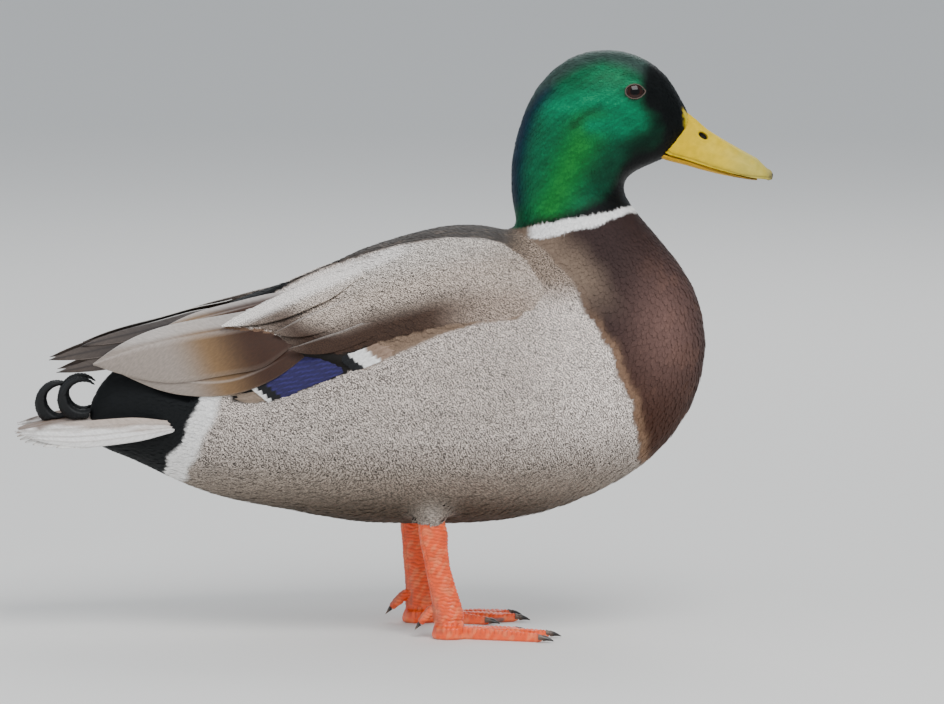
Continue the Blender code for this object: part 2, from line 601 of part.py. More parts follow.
def make_leg(side, sign, shift, lean, cutter):
    """Makes thigh, shank, foot, hind toe and claws on an empty that stands under the leg."""
    upright = Matrix.Shear("XY", 4, (lean, 0.0))
    upright = Matrix.Translation((-lean * KNEE_HEIGHT, 0, 0)) @ upright
    stand = bpy.data.objects.new(f"leg_{side}", None)
    bpy.context.collection.objects.link(stand)
    stand.location = (shift * MM, sign * LEG_SIDE * MM, 0)

    def place(bm, name, finish):
        bmesh.ops.transform(bm, matrix=upright, verts=bm.verts)
        made = object_from(bm if sign < 0 else mirrored(bm), f"{name}_{side}", finish, 65.0)
        made.parent = stand
        return made

    thigh = place(tube_bmesh(standing_rings(THIGH_ROWS, 18)), "thigh", "flank")
    cut(thigh, cutter)
    place(tube_bmesh(standing_rings(SHANK_ROWS, 12)), "shank", "leg")
    bm = foot_bmesh()
    bmesh.ops.translate(bm, vec=(FOOT_X, 0, 0), verts=bm.verts)
    place(bm, "foot", "leg")
    for toe, (angle, length, _) in TOES.items():
        along = Vector((math.cos(math.radians(angle)), math.sin(math.radians(angle)), 0))
        start = Vector((FOOT_X, 0, CLAW_RADIUS + 0.5)) + along * (length + GAP)
        claw = horn_bmesh(start, along, CLAW_LENGTH, CLAW_RADIUS, 1.6)
        place(claw, f"claw_{toe}", "claw")
    hallux = [Vector((x, 2.0, z)) for x, z, _ in HALLUX_ROWS]
    down = (hallux[-1] - hallux[0]).normalized()
    aside = Vector((0, 1, 0))
    across = down.cross(aside)
    rings = [[p + (aside * math.cos(t) + across * math.sin(t)) * row[2] * 0.85
              for t in [math.tau * i / 10 for i in range(10)]] for p, row in zip(hallux, HALLUX_ROWS)]
    toe = place(tube_bmesh(rings), "hallux", "leg")
    grown = [(z, x, length + GAP * 1.3, width + GAP * 1.3) for z, x, length, width in SHANK_ROWS]
    bed = place(tube_bmesh(standing_rings(grown, 12)), "shank_bed", "leg")
    cut(toe, bed)
    claw = horn_bmesh(hallux[-1] + down * GAP, down, 4.5, 1.5, 0.6, lowest=2.0)
    place(claw, "claw_hallux", "claw")


def main():
    """Builds the whole bird."""
    clear_scene()
    flesh = make_flesh()
    cutter = body_cutter()
    below, above = block_beside_tail("below_tail", -1), block_beside_tail("above_tail", 1)
    cut(flesh["rump"], below)
    cut(flesh["vent"], above)
    for side, sign, *stance in (("right", -1, 0.0, 0.0), ("left", 1, LEFT_SHIFT, LEFT_LEAN)):
        make_wing(side, sign, flesh)
        make_leg(side, sign, *stance, cutter)
        for name, numbers in CURLS.items():
            make_curl(f"tail_curl_{side}_{name}", sign, numbers, (cutter, below))
    make_tail()
    make_bill(cutter)
    make_eyes(flesh["head"])


main()
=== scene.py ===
import math

import bmesh
import bpy
import numpy as np
from mathutils import Matrix, Vector
from mathutils.bvhtree import BVHTree


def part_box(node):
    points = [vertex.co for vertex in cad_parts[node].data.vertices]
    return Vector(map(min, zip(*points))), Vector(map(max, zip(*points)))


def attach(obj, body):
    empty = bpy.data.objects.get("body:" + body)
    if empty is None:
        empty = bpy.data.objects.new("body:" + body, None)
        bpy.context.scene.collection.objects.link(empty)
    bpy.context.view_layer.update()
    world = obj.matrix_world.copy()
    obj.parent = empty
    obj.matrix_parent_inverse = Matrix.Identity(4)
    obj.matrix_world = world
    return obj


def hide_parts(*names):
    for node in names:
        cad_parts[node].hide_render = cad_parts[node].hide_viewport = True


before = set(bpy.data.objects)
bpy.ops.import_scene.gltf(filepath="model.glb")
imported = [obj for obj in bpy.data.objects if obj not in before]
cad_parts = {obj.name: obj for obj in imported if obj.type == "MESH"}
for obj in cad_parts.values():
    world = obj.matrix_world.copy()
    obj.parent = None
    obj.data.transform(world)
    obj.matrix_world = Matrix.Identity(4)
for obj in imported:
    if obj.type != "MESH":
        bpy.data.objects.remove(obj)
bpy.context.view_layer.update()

MM = 0.001
CHANCE = np.random.default_rng(41)
SIDES = (("right", -1), ("left", 1))
LEVEL_FALL = 0.114                         # what a level loses with the distance from the middle plane


def side_view(points):
    """Gives points of the body as x and level, a level being a height less its fall to the side."""
    flat = points[:, [0, 2]].copy()
    flat[:, 1] -= LEVEL_FALL * np.abs(points[:, 1])
    return flat


def eye_spot():
    """Gives centre and level of the right eye, in millimetres."""
    low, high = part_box("eye_right")
    centre = (low + high) / 2 / MM
    return np.array(centre), centre.z + LEVEL_FALL * centre.y


EYE, EYE_LEVEL = eye_spot()
KNEES = [(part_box(f"thigh_{side}")[0].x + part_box(f"thigh_{side}")[1].x) / 2 / MM for side, _ in SIDES]


def eye_distance(flat):
    """Gives how far points of the side view lie from the eye, less along the head than up it."""
    return np.hypot((flat[:, 0] - EYE[0]) / 1.25, flat[:, 1] - EYE_LEVEL)


def ahead_of_knee(points):
    """Gives how far points lie ahead of the leg on their own side."""
    return points[:, 0] - np.where(points[:, 1] < 0, KNEES[0], KNEES[1])

# ---- The lie of the plumage -----------------------------------------------------------------
# Lines across the body from back to belly, tail to face: x and z of both ends. Feathers lie square
# to them, pointing to the tail.
LINES = np.array((
    (-176, 127, -174, 106), (-118, 176, -118, 82), (-60, 202, -60, 68), (5, 227, 5, 60),
    (30, 232, 40, 60), (49, 232, 80, 65), (58, 231, 115, 78), (63, 229.5, 144, 95.5),
    (66, 229, 169, 126.6), (67.3, 229, 178, 163), (68, 230, 171, 196), (68, 232.5, 152, 223),
    (67, 237.5, 137, 241), (65.5, 248, 130.8, 250.6), (64.9, 258, 131.4, 257), (69, 286, 143, 264.4),
    (79.6, 310, 149.5, 267), (98.6, 327.6, 154, 269), (120, 332.4, 157, 271.4),
    (139.4, 328.4, 159, 273.6), (154.6, 317, 160, 275.2), (169, 294, 161, 277)), float)
LINE_STEPS = 8


def smooth(value, low, high):
    """Goes from 0 at low to 1 at high without a corner."""
    t = np.clip((value - low) / (high - low), 0, 1)
    return t * t * (3 - 2 * t)


def dense_lines():
    """Gives the lines across the body with more of them in between."""
    at = np.arange(len(LINES))
    fine = np.linspace(0, at[-1], at[-1] * LINE_STEPS + 1)
    return np.stack([np.interp(fine, at, column) for column in LINES.T], axis=1)


FINE_LINES = dense_lines()


def lie(x, z):
    """Gives for points of the side view the line's number, the height on it and the way to the tail."""
    points = np.stack((x, z), axis=1)
    best = np.full(len(points), 1e9)
    number, height = np.zeros(len(points)), np.zeros(len(points))
    way = np.zeros((len(points), 2))
    for i, (tx, tz, lx, lz) in enumerate(FINE_LINES):
        low, span = np.array((lx, lz)), np.array((tx - lx, tz - lz))
        part = np.clip((points - low) @ span / (span @ span), 0, 1)
        away = np.linalg.norm(points - low - part[:, None] * span, axis=1)
        nearer = away < best
        best[nearer], number[nearer], height[nearer] = away[nearer], i, part[nearer]
        way[nearer] = np.array((-span[1], span[0])) / np.linalg.norm(span)
    return number / LINE_STEPS, height, way


# ---- Outlines of the markings, as x and level -----------------------------------------------
BREAST_EDGE = ((78, 222), (88, 214), (100, 200), (108, 185), (117, 168), (124, 155), (129, 143),
               (135, 129), (138.5, 115), (140, 100), (139, 88), (134, 78), (122, 60))
COLLAR_TOP = ((73, 230), (94, 234), (117, 238), (131, 242), (150, 246))
COLLAR_LOW = ((75, 225), (83, 223.6), (94, 225.5), (117, 232), (131, 237.4), (150, 243))
SCAPULAR = ((-97, 174.5), (-87, 181), (-76, 187.5), (-65, 193.5), (-53, 200), (-42, 205.5),
            (-19, 213.5), (3, 219.5), (30, 223.5), (50, 223), (62, 220), (74, 212), (84, 197),
            (84, 190), (78, 183), (66, 178), (49, 176.5), (26, 173.5), (3, 167.5), (-8, 164.5),
            (-23, 158.6), (-34, 156.6), (-49, 158.6), (-59, 161.5), (-66, 169), (-74, 172.4))
STRIP = ((84, 192), (66, 181), (26, 177), (-30, 162), (-30, 150), (-16, 149), (3, 158), (26, 168.4),
         (49, 175.4), (70, 177.6))
BACK_EDGE = ((-178, -170, -146, -126, -112, -94, -60), (126, 140, 166, 175, 179.5, 184, 193))
FLANK_TOP = ((74, 178.5), (49, 175.8), (26, 168.6), (3, 158.6), (-16, 150), (-25, 146.8),
             (-42, 140.4), (-53, 136.4), (-62, 132.6), (-70, 128.6), (-84, 129.6), (-107, 131.6))
# The stretch of the wing that the speculum's feathers hide.
PATCH = ((-92, 130), (-70, 130.5), (-42, 141), (-16, 151), (-1, 158), (1, 163), (-8, 165), (-23, 159.5),
         (-34, 157.5), (-49, 159.5), (-60, 162), (-88, 150))


def line_distance(points, corners, closed=False):
    """Gives the distance of points from a line through corners, negative on its left or inside."""
    corners = np.asarray(corners, float)
    ends = np.roll(corners, -1, axis=0) if closed else corners[1:]
    best, sign = np.full(len(points), 1e9), np.ones(len(points))
    inside = np.zeros(len(points), bool)
    for a, b in zip(corners, ends):
        span = b - a
        part = np.clip((points - a) @ span / (span @ span), 0, 1)
        gap = points - a - part[:, None] * span
        away = np.linalg.norm(gap, axis=1)
        nearer = away < best - 1e-6
        best[nearer] = away[nearer]
        sign[nearer] = np.where(span[0] * gap[nearer, 1] - span[1] * gap[nearer, 0] > 0, -1, 1)
        crosses = (a[1] > points[:, 1]) != (b[1] > points[:, 1])
        with np.errstate(divide="ignore", invalid="ignore"):
            inside ^= crosses & (points[:, 0] < a[0] + span[0] * (points[:, 1] - a[1]) / span[1])
    return best * (np.where(inside, -1, 1) if closed else sign)


def rough(points, size, seed=0.0):
    """Gives a smooth uneven pattern between about -1 and 1, with lumps of a size in millimetres."""
    p = points / size
    turns = ((1.0, 0.7, 0.4), (-0.6, 1.1, 0.5), (0.5, -0.4, 1.2), (1.3, -0.9, -0.7), (-1.1, -1.2, 0.9))
    total = 0
    for i, turn in enumerate(turns):
        total = total + np.sin(p @ np.array(turn) * (1 + 0.37 * i) + seed + 1.7 * i)
    return total / 2.6


def to_linear(code):
    """Turns an sRGB hex colour into linear values."""
    values = [int(code[i:i + 2], 16) / 255 for i in (1, 3, 5)]
    return np.array([v / 12.92 if v <= 0.04045 else ((v + 0.055) / 1.055) ** 2.4 for v in values])


def mix(first, second, share):
    """Mixes colours, the first an array or hex value and the second a hex value."""
    first = to_linear(first) if isinstance(first, str) else first
    return first + (to_linear(second) - first) * np.asarray(share)[..., None]


# Painted sheens and painted shade of the head's iridescence: colour, width, and the line in the side view
# along which it is strongest.
PAINTED_HEAD_SHEENS = (
    ("#064a36", 15, ((130, 272), (118, 262), (122, 250))),
    ("#2b8a3c", 10, ((110, 290), (105, 277), (99, 265), (93, 250), (88, 240))),
    ("#0c8f65", 6.5, ((88, 297), (100, 300), (110, 302), (122, 301.5), (133, 295), (141, 288))),
    ("#0a6a46", 4.5, ((103, 312), (112, 315.5), (120, 317), (128, 316.6))),
    ("#0c8a62", 6, ((112, 288), (122, 288), (130, 286))),
    ("#06291e", 8, ((150, 290), (146, 281), (138, 275))),
    ("#08294a", 6.5, ((84, 309), (75, 296), (70, 279), (67, 262), (67, 246))),
)
HEAD_SHADE = np.array((0.5, 0.68, 0.62))
CROWN_EDGE = ((74, 296), (81, 305), (94, 315), (105, 321.5), (118, 325), (131, 322), (141, 316), (146, 309))
LORES = ((143, 320), (141, 311), (140.5, 303), (143, 297.5), (150, 294), (153, 287), (151, 279),
         (147, 274.5), (136, 271.5), (129.5, 265), (125.5, 255), (119, 245.5), (104, 238.5),
         (90, 234.6), (74, 231), (74, 224), (150, 232), (190, 270), (190, 320), (150, 330))
WEDGE = ((162.9, 298.6), (166.5, 293.6), (168.5, 290.5), (164.4, 284), (164.3, 291))
CREASE = ((101.5, 288), (108, 294), (117, 298.6))


def head_colours(points):
    """Paints the head: green with painted sheens and painted shade of its iridescence, passing into black at
    the face, chin and crown.
    """
    flat = side_view(points)
    colour = np.tile(to_linear("#0b6a48"), (len(points), 1))
    # painted sheens and painted shade of the iridescence, laid on by place
    for code, width, line in PAINTED_HEAD_SHEENS:
        away = np.abs(line_distance(flat, line))
        colour = mix(colour, code, np.exp(-(away / width) ** 2) * 0.95)
    # the crown: dark grey-green, lightened by a painted sheen on the top of the head
    crown = line_distance(flat, CROWN_EDGE)
    crown = np.where((flat[:, 0] > 74) & (flat[:, 1] > 296), crown, 9.0)
    colour = mix(colour * HEAD_SHADE, "#384a45", smooth(-crown, -4.0, 3.5) * 0.92)
    black = line_distance(flat, LORES, closed=True)
    colour = mix(colour, "#070b0b", smooth(-black, -4.8, 2.6))
    colour = mix(colour, "#060909", 1 - smooth(eye_distance(flat), 3.6, 4.4))
    # painted shade along the crease behind the eye, where the skin is also folded in
    crease = np.abs(line_distance(flat, CREASE))
    colour = mix(colour, "#03140f", np.exp(-(crease / 2.3) ** 2) * 0.5)
    streaks = rough(points * (0.45, 1, 1.2), 1.3) * 0.15 + rough(points * (0.6, 1, 1), 3.4, 2.0) * 0.07
    colour = colour * (1 + streaks)[:, None]
    return mix(colour, "#ddc21c", smooth(-line_distance(flat, WEDGE, closed=True), -0.4, 0.3))


def shoulder_colours(flat):
    """Paints the scapulars: silvery grey, pale along the upper edge and dark brown along the lower, that
    brown partly painted shade.

    Gives the colours and the strength of the fine waves, which fade in both edges.
    """
    x, level = flat.T
    grey = mix("#b3a497", "#c8beb4", smooth(level - 0.25 * x, 192, 212))
    # the dark brown band along the lower edge: partly the feathers' own brown, partly painted shade along
    # that edge
    shade = 1 - smooth(np.abs(line_distance(flat, SCAPULAR[15:26])), 8.0, 25.0)
    deep = smooth(-x, -66, -20) * (1 - 0.4 * smooth(-x, 45, 85))
    grey = mix(grey, "#2b1200", shade * deep * 0.96)
    grey = mix(grey, "#8a7566", shade * smooth(x, 10, 60) * 0.5)
    streak = level - 176.4 - (x + 93) * 0.436
    streak = smooth(streak, -8.0, -2.5) * smooth(-x, -25, 5)
    waves = (1 - 0.7 * smooth(shade * deep, 0.3, 1.0)) * (1 - 0.65 * smooth(streak, 0.4, 1.0))
    return mix(grey, "#e9e2dc", streak * 0.9), waves


def chest_colours(points, flat, breast):
    """Gives the breast's brown, its rusty edge, a painted highlight on its middle and the dull zone at the
    shoulder.
    """
    x, level = flat.T
    chest = mix("#2f1f1d", "#43220f", smooth(-level, -180, -95) * 0.85)
    chest = mix(chest, "#6a4a3a", smooth(rough(points, 7.0, 3.0), 0.1, 0.9) * smooth(x, 128, 165) * 0.3)
    chest = mix(chest, "#9a7a60", np.exp(-((breast + 2.5) / 2.6) ** 2) * 0.65 * smooth(-level, -205, -150))
    # painted highlight on the middle of the breast
    sheen = np.exp(-((x - 154) / 20) ** 2 - ((level - 172) / 34) ** 2)
    chest = mix(chest, "#7a5c54", sheen * 0.7)
    dull = (1 - smooth(-breast, 5, 24)) * smooth(level, 172, 204)
    return mix(chest, "#7d6a5a", dull * 0.8)


def body_colours(points, number):
    """Paints the body's contour feathers. Gives colours and the strength of the fine waves."""
    flat = side_view(points)
    x, level, aside = flat[:, 0], flat[:, 1], np.abs(points[:, 1])
    uneven = rough(points, 9.0)
    colour = np.tile(to_linear("#bdb1a8"), (len(points), 1))
    colour = mix(colour, "#dccfc6", smooth(x, 60, 120) * smooth(level, 90, 130))
    # painted shade underneath: the lower flank and belly darker towards the bottom
    colour = mix(colour, "#7a6c5d", smooth(-level, -112, -80) * 0.75)
    colour = mix(colour, "#4d4135", smooth(-level, -86, -66))
    apart = ahead_of_knee(points) - 2
    thigh = np.exp(-(apart / 10) ** 2) * smooth(-points[:, 2], -84, -68) * smooth(aside, 18, 30)
    colour = mix(colour, "#b9aea3", thigh * 0.7)
    waves = 1 - 0.6 * smooth(-level, -95, -70)
    # the lesser coverts and the lower edge of the scapulars
    scapular = line_distance(flat, SCAPULAR, closed=True)
    strip = line_distance(flat, STRIP, closed=True)
    waves = waves * (1 - 0.85 * smooth(-strip, -1.0, 1.0) * (scapular > 0))
    colour = mix(colour, "#7c6756", smooth(-strip, -1.0, 1.0) * (scapular > 0))
    grey, fade = shoulder_colours(flat)
    colour = np.where((scapular < 0)[:, None], grey, colour)
    waves = np.where(scapular < 0, waves * fade, waves)
    covered = (line_distance(flat, PATCH, closed=True) < 0) & (aside > 30) & (x < -14)
    colour = np.where(covered[:, None], to_linear("#171310"), colour)
    waves = waves * ~covered
    # the mantle between the scapulars and the black of the lower back
    mantle = smooth(scapular, 0.3, 1.2) * smooth(level - 178 - 0.3 * x, -1, 4) * smooth(-x, -80, -58)
    mottle = mix("#14110f", "#453a31", smooth(rough(points * (0.3, 1, 1.3), 1.7, 1.0), 0.0, 0.9))
    mottle = mix(mottle, "#0d1113", smooth(-x, 44, 74))
    shoulder = smooth(x, 56, 68) * smooth(level, 180, 202) * (scapular > 0)
    colour = mix(colour, "#7f6c5b", shoulder * 0.85)
    colour = colour + (mottle - colour) * (mantle * 0.9)[:, None]
    breast = line_distance(flat, BREAST_EDGE) + uneven * 1.2
    front = smooth(-breast, -1.2, 1.2) * (number > 4.5)
    colour = colour + (chest_colours(points, flat, breast) - colour) * front[:, None]
    waves = waves * (1 - front) * (1 - 0.9 * mantle)
    # black stern with the white patch in front of it
    stern = -(x + 110.5 + 0.48 * (131.6 - level)) + uneven * 1.6
    back = level > np.interp(x, *BACK_EDGE)
    stern = np.where((level > 140) & (x > -114), np.where(back, -(x + 60) * 0.5, -99), stern)
    stern = np.where(scapular < 0.6, -99, stern)
    hidden = (level > 140) & (x < -60) & (x > -114) & ~back & (scapular > 0.6)
    colour = np.where(hidden[:, None], to_linear("#6a5140"), colour)
    colour = mix(colour, "#f1efec", smooth(stern, -15.5, -10.5) * (level < 140))
    black = smooth(stern, -1.0, 1.4)
    colour = mix(colour, "#0a0d0f", black)
    waves = waves * (1 - smooth(stern, -16, -11))
    # the collar, open at the nape
    top, low = line_distance(flat, COLLAR_TOP), line_distance(flat, COLLAR_LOW)
    band = smooth(top + uneven * 0.5, -0.6, 0.6) * smooth(-low + uneven * 0.9, -0.9, 0.9)
    band = band * smooth(x, 74, 80) * (number > 9)
    colour = mix(colour, "#f3f2f0", band)
    return colour, waves * (1 - band)


def plumage(points):
    """Paints any point of the plumage. Gives colours, strength of the waves, and how green it is."""
    number, _, _ = lie(points[:, 0], points[:, 2])
    flat = side_view(points)
    colour, waves = body_colours(points, number)
    above = line_distance(flat, COLLAR_TOP) + rough(points, 3.0) * 0.35
    nape = np.where(flat[:, 0] < 75, 229.5 - flat[:, 1], above)
    green = smooth(-nape, -0.5, 0.8) * (number > 9.5)
    colour = colour + (head_colours(points) - colour) * green[:, None]
    return colour, waves * (1 - green), green


# ---- Meshes ---------------------------------------------------------------------------------
def linked(made):
    """Puts an object in the scene and gives it back."""
    bpy.context.scene.collection.objects.link(made)
    return made


def as_mesh(bm, name):
    """Turns a bmesh into a mesh and frees it."""
    mesh = bpy.data.meshes.new(name)
    bm.to_mesh(mesh)
    bm.free()
    return mesh


def absorb(bm, other):
    """Adds another bmesh to a bmesh and frees the other."""
    held = as_mesh(other, "held")
    bm.from_mesh(held)
    bpy.data.meshes.remove(held)


def joined_copy(nodes, grow=0.0):
    """Gives one bmesh of CAD nodes with their loose triangles merged, each grown a little."""
    bm = bmesh.new()
    for name in nodes:
        part = bmesh.new()
        part.from_mesh(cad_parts[name].data)
        bmesh.ops.remove_doubles(part, verts=part.verts, dist=1e-6)
        part.normal_update()
        for vert in part.verts:
            vert.co += vert.normal * grow
        absorb(bm, part)
    return bm


def remeshed(bm, voxel):
    """Gives one even mesh round everything in a bmesh, outer shell only."""
    raw = linked(bpy.data.objects.new("raw", as_mesh(bm, "raw")))
    modifier = raw.modifiers.new("even", "REMESH")
    modifier.mode = "VOXEL"
    modifier.voxel_size = voxel
    bpy.context.view_layer.update()
    even = bpy.data.meshes.new_from_object(raw.evaluated_get(bpy.context.evaluated_depsgraph_get()))
    bpy.data.objects.remove(raw)
    bm = bmesh.new()
    bm.from_mesh(even)
    keep_largest(bm)
    bmesh.ops.recalc_face_normals(bm, faces=bm.faces)
    bm.to_mesh(even)
    bm.free()
    return even


def keep_largest(bm):
    """Removes all but the largest shell of a bmesh."""
    left, shells = set(bm.verts), []
    while left:
        shell, edge = set(), [left.pop()]
        while edge:
            vert = edge.pop()
            shell.add(vert)
            for link in vert.link_edges:
                other = link.other_vert(vert)
                if other in left:
                    left.discard(other)
                    edge.append(other)
        shells.append(shell)
    shells.sort(key=len)
    for shell in shells[:-1]:
        bmesh.ops.delete(bm, geom=list(shell), context="VERTS")


def mesh_values(mesh, kind):
    """Gives the positions or normals of a mesh's points, as rows of three."""
    values = np.empty(len(mesh.vertices) * 3)
    mesh.vertices.foreach_get(kind, values)
    return values.reshape(-1, 3)


def mesh_points(mesh):
    """Gives a mesh's points in millimetres."""
    return mesh_values(mesh, "co") / MM


def mesh_normals(mesh):
    """Gives a mesh's smooth normals."""
    return mesh_values(mesh, "normal")


def triangles(mesh):
    """Gives the points of each of a mesh's triangles."""
    mesh.calc_loop_triangles()
    corners = np.empty(len(mesh.loop_triangles) * 3, int)
    mesh.loop_triangles.foreach_get("vertices", corners)
    return corners.reshape(-1, 3)


def ray_lengths(tree, starts, ways, reach):
    """Gives how far rays run until they meet a surface, endless where nothing is within reach."""
    hits = [tree.ray_cast(start, way, reach)[3] for start, way in zip(starts.tolist(), ways.tolist())]
    return np.array([np.inf if hit is None else hit for hit in hits])


def set_points(mesh, points):
    """Puts points in millimetres into a mesh."""
    mesh.vertices.foreach_set("co", (points * MM).ravel())
    mesh.update()


def relax(mesh, points, rounds, share=0.5):
    """Smooths points over the mesh's edges."""
    edges = np.empty(len(mesh.edges) * 2, int)
    mesh.edges.foreach_get("vertices", edges)
    a, b = edges.reshape(-1, 2).T
    count = np.bincount(a, minlength=len(points)) + np.bincount(b, minlength=len(points))
    for _ in range(rounds):
        total = np.zeros_like(points)
        for k in range(3):
            total[:, k] = np.bincount(a, points[b, k], len(points))
            total[:, k] += np.bincount(b, points[a, k], len(points))
        points = points + (total / count[:, None] - points) * share
    return points


def paint_points(mesh, colour, marks=(0, 0.5, 0)):
    """Stores colours and marks on a mesh's points."""
    for label, values in (("Plume", colour), ("Marks", marks)):
        full = np.ones((len(mesh.vertices), 4), np.float32)
        full[:, :3] = values
        mesh.attributes.new(label, "FLOAT_COLOR", "POINT").data.foreach_set("color", full.ravel())


def piece(mesh, name, slot, finish, *stands_for):
    """Puts a finished mesh in the scene as a piece of the bird."""
    mesh.name = name
    made = linked(bpy.data.objects.new(name, mesh))
    mesh.materials.clear()
    mesh.materials.append(finish)
    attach(made, "root")
    if stands_for:
        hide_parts(*stands_for)
    return made


# ---- Skin -----------------------------------------------------------------------------------
FLESH = ("head", "neck", "trunk", "rump", "vent", "thigh_right", "thigh_left", "wing_right_coverts",
         "wing_left_coverts")
SKIN_VOXEL = 0.0021
HEAD_COAT, BODY_COAT = 0.9, 1.3            # how deep the skin lies under the coat
GROW = 0.0011                              # metres by which parts swell so that they melt together
WINGS_FREE = -0.112                        # x behind which the wings stand clear of the body
EYE_BED = (11.5, 10.2, 7.6)                # half axes of the flesh round an eye
CUFF = {"radius1": 0.0108, "radius2": 0.0142, "depth": 0.0165}     # down round the top of a leg
CUFF_AHEAD, CUFF_HEIGHT = 0.003, 0.0735
THICKEST = 12.0                            # millimetres beyond which a body counts as thick


def coat_depth(points):
    """Gives how deep the skin lies under the coat's surface."""
    return HEAD_COAT + (BODY_COAT - HEAD_COAT) * smooth(-points[:, 2], -250, -215)


def relief(points):
    """Gives what the skin rises or sinks by: folds, the wing's edges and the eye's surround."""
    flat = side_view(points)
    side = smooth(np.abs(points[:, 1]), 8, 14)
    scapular = line_distance(flat, SCAPULAR, closed=True)
    strip = line_distance(flat, STRIP, closed=True)
    flank = line_distance(flat, FLANK_TOP)
    sink = -2.0 * smooth(-strip, -0.5, 1.5) * smooth(scapular, -0.5, 1.5)
    lip = 0.7 * np.exp(-((flank + 3.0) / 3.0) ** 2) * (flat[:, 0] > -75)
    crease = np.abs(line_distance(flat, CREASE))
    fold = -0.45 * np.exp(-(crease / 2.2) ** 2)
    socket = 0.35 * np.exp(-((eye_distance(flat) - 9.5) / 2.6) ** 2)
    thigh = np.abs(line_distance(points[:, [0, 2]], ((30, 64), (37, 71), (45, 84))))
    groove = -1.7 * np.exp(-(thigh / 3.2) ** 2) * smooth(points[:, 1] * -1, 10, 25)
    corner = 1.3 * smooth(-line_distance(points[:, [0, 2]], WEDGE, closed=True), -0.8, 1.0)
    return (sink + lip + fold + socket + groove) * side + corner


def make_skin():
    """Makes the one skin under the whole plumage, closed under the folded wings as well."""
    bm = joined_copy(FLESH, GROW)
    wings = joined_copy([f"wing_{side}_{part}" for side in ("right", "left")
                         for part in ("tertials", "secondaries")], GROW)
    cut = bmesh.ops.bisect_plane(wings, geom=wings.verts[:] + wings.edges[:] + wings.faces[:],
                                 plane_co=(WINGS_FREE, 0, 0), plane_no=(-1, 0, 0), clear_outer=True)
    rim = [item for item in cut["geom_cut"] if isinstance(item, bmesh.types.BMEdge)]
    bmesh.ops.holes_fill(wings, edges=rim, sides=0)
    absorb(bm, wings)
    for (side, sign), knee in zip(SIDES, KNEES):
        centre, *ways = eye_frame(side, sign)
        axes = np.stack([way * size for way, size in zip(ways, EYE_BED)], axis=1)
        bed = Matrix.Translation(Vector(centre * MM)) @ Matrix((axes * MM).tolist()).to_4x4()
        bmesh.ops.create_icosphere(bm, subdivisions=4, radius=1.0, matrix=bed)
        low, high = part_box(f"shank_{side}")
        place = Matrix.Translation((knee * MM + CUFF_AHEAD, (low.y + high.y) / 2, CUFF_HEIGHT))
        bmesh.ops.create_cone(bm, segments=48, cap_ends=True, **CUFF,
                              matrix=place @ Matrix.Diagonal((1.16, 0.88, 1, 1)))
    mesh = remeshed(bm, SKIN_VOXEL)
    points = relax(mesh, mesh_points(mesh), 6)
    set_points(mesh, points)
    normals = relax(mesh, mesh_normals(mesh), 3)
    depth = coat_depth(points) - relief(points) + GROW / MM
    depth = np.minimum(depth, thickness(mesh, points, normals) * 0.42)
    points = relax(mesh, points - normals * depth[:, None], 2)
    for side, sign in SIDES:
        points = round_eye(points, *eye_frame(side, sign))
    set_points(mesh, points)
    mesh.shade_smooth()
    return mesh


def round_eye(points, centre, fore, up, out):
    """Brings the skin up to the lids all round an eye, and down below the eyeball inside them."""
    u, v, high = ((points - centre) @ axis for axis in (fore, up, out))
    apart = np.hypot(u / LID_EDGE[0], v / LID_EDGE[1])
    share = np.maximum(apart, 1.0)
    rim = eye_height(u / share, v / share) - 0.9 * np.maximum(1 - apart, 0) - 0.1
    pull = (1 - smooth(apart, 1.0, 2.1)) * (high > 0)
    return points + ((rim - high) * pull)[:, None] * out


def thickness(mesh, points, normals):
    """Gives how thick a body is below each of its points."""
    tree = BVHTree.FromPolygons(points.tolist(), triangles(mesh).tolist())
    below = 0.4
    through = ray_lengths(tree, points - normals * below, -normals, THICKEST)
    return np.where(np.isinf(through), THICKEST, through + below)


# ---- Coat -----------------------------------------------------------------------------------
SOFT = 0.94                                # how far a vane's shading follows the skin below it
BAKE_PATCH = 0.003                         # size of a vane's patch on the unwrap
SLOTS = {"head": "head_feathers", "neck": "neck_feathers", "stern": "black_feathers"}


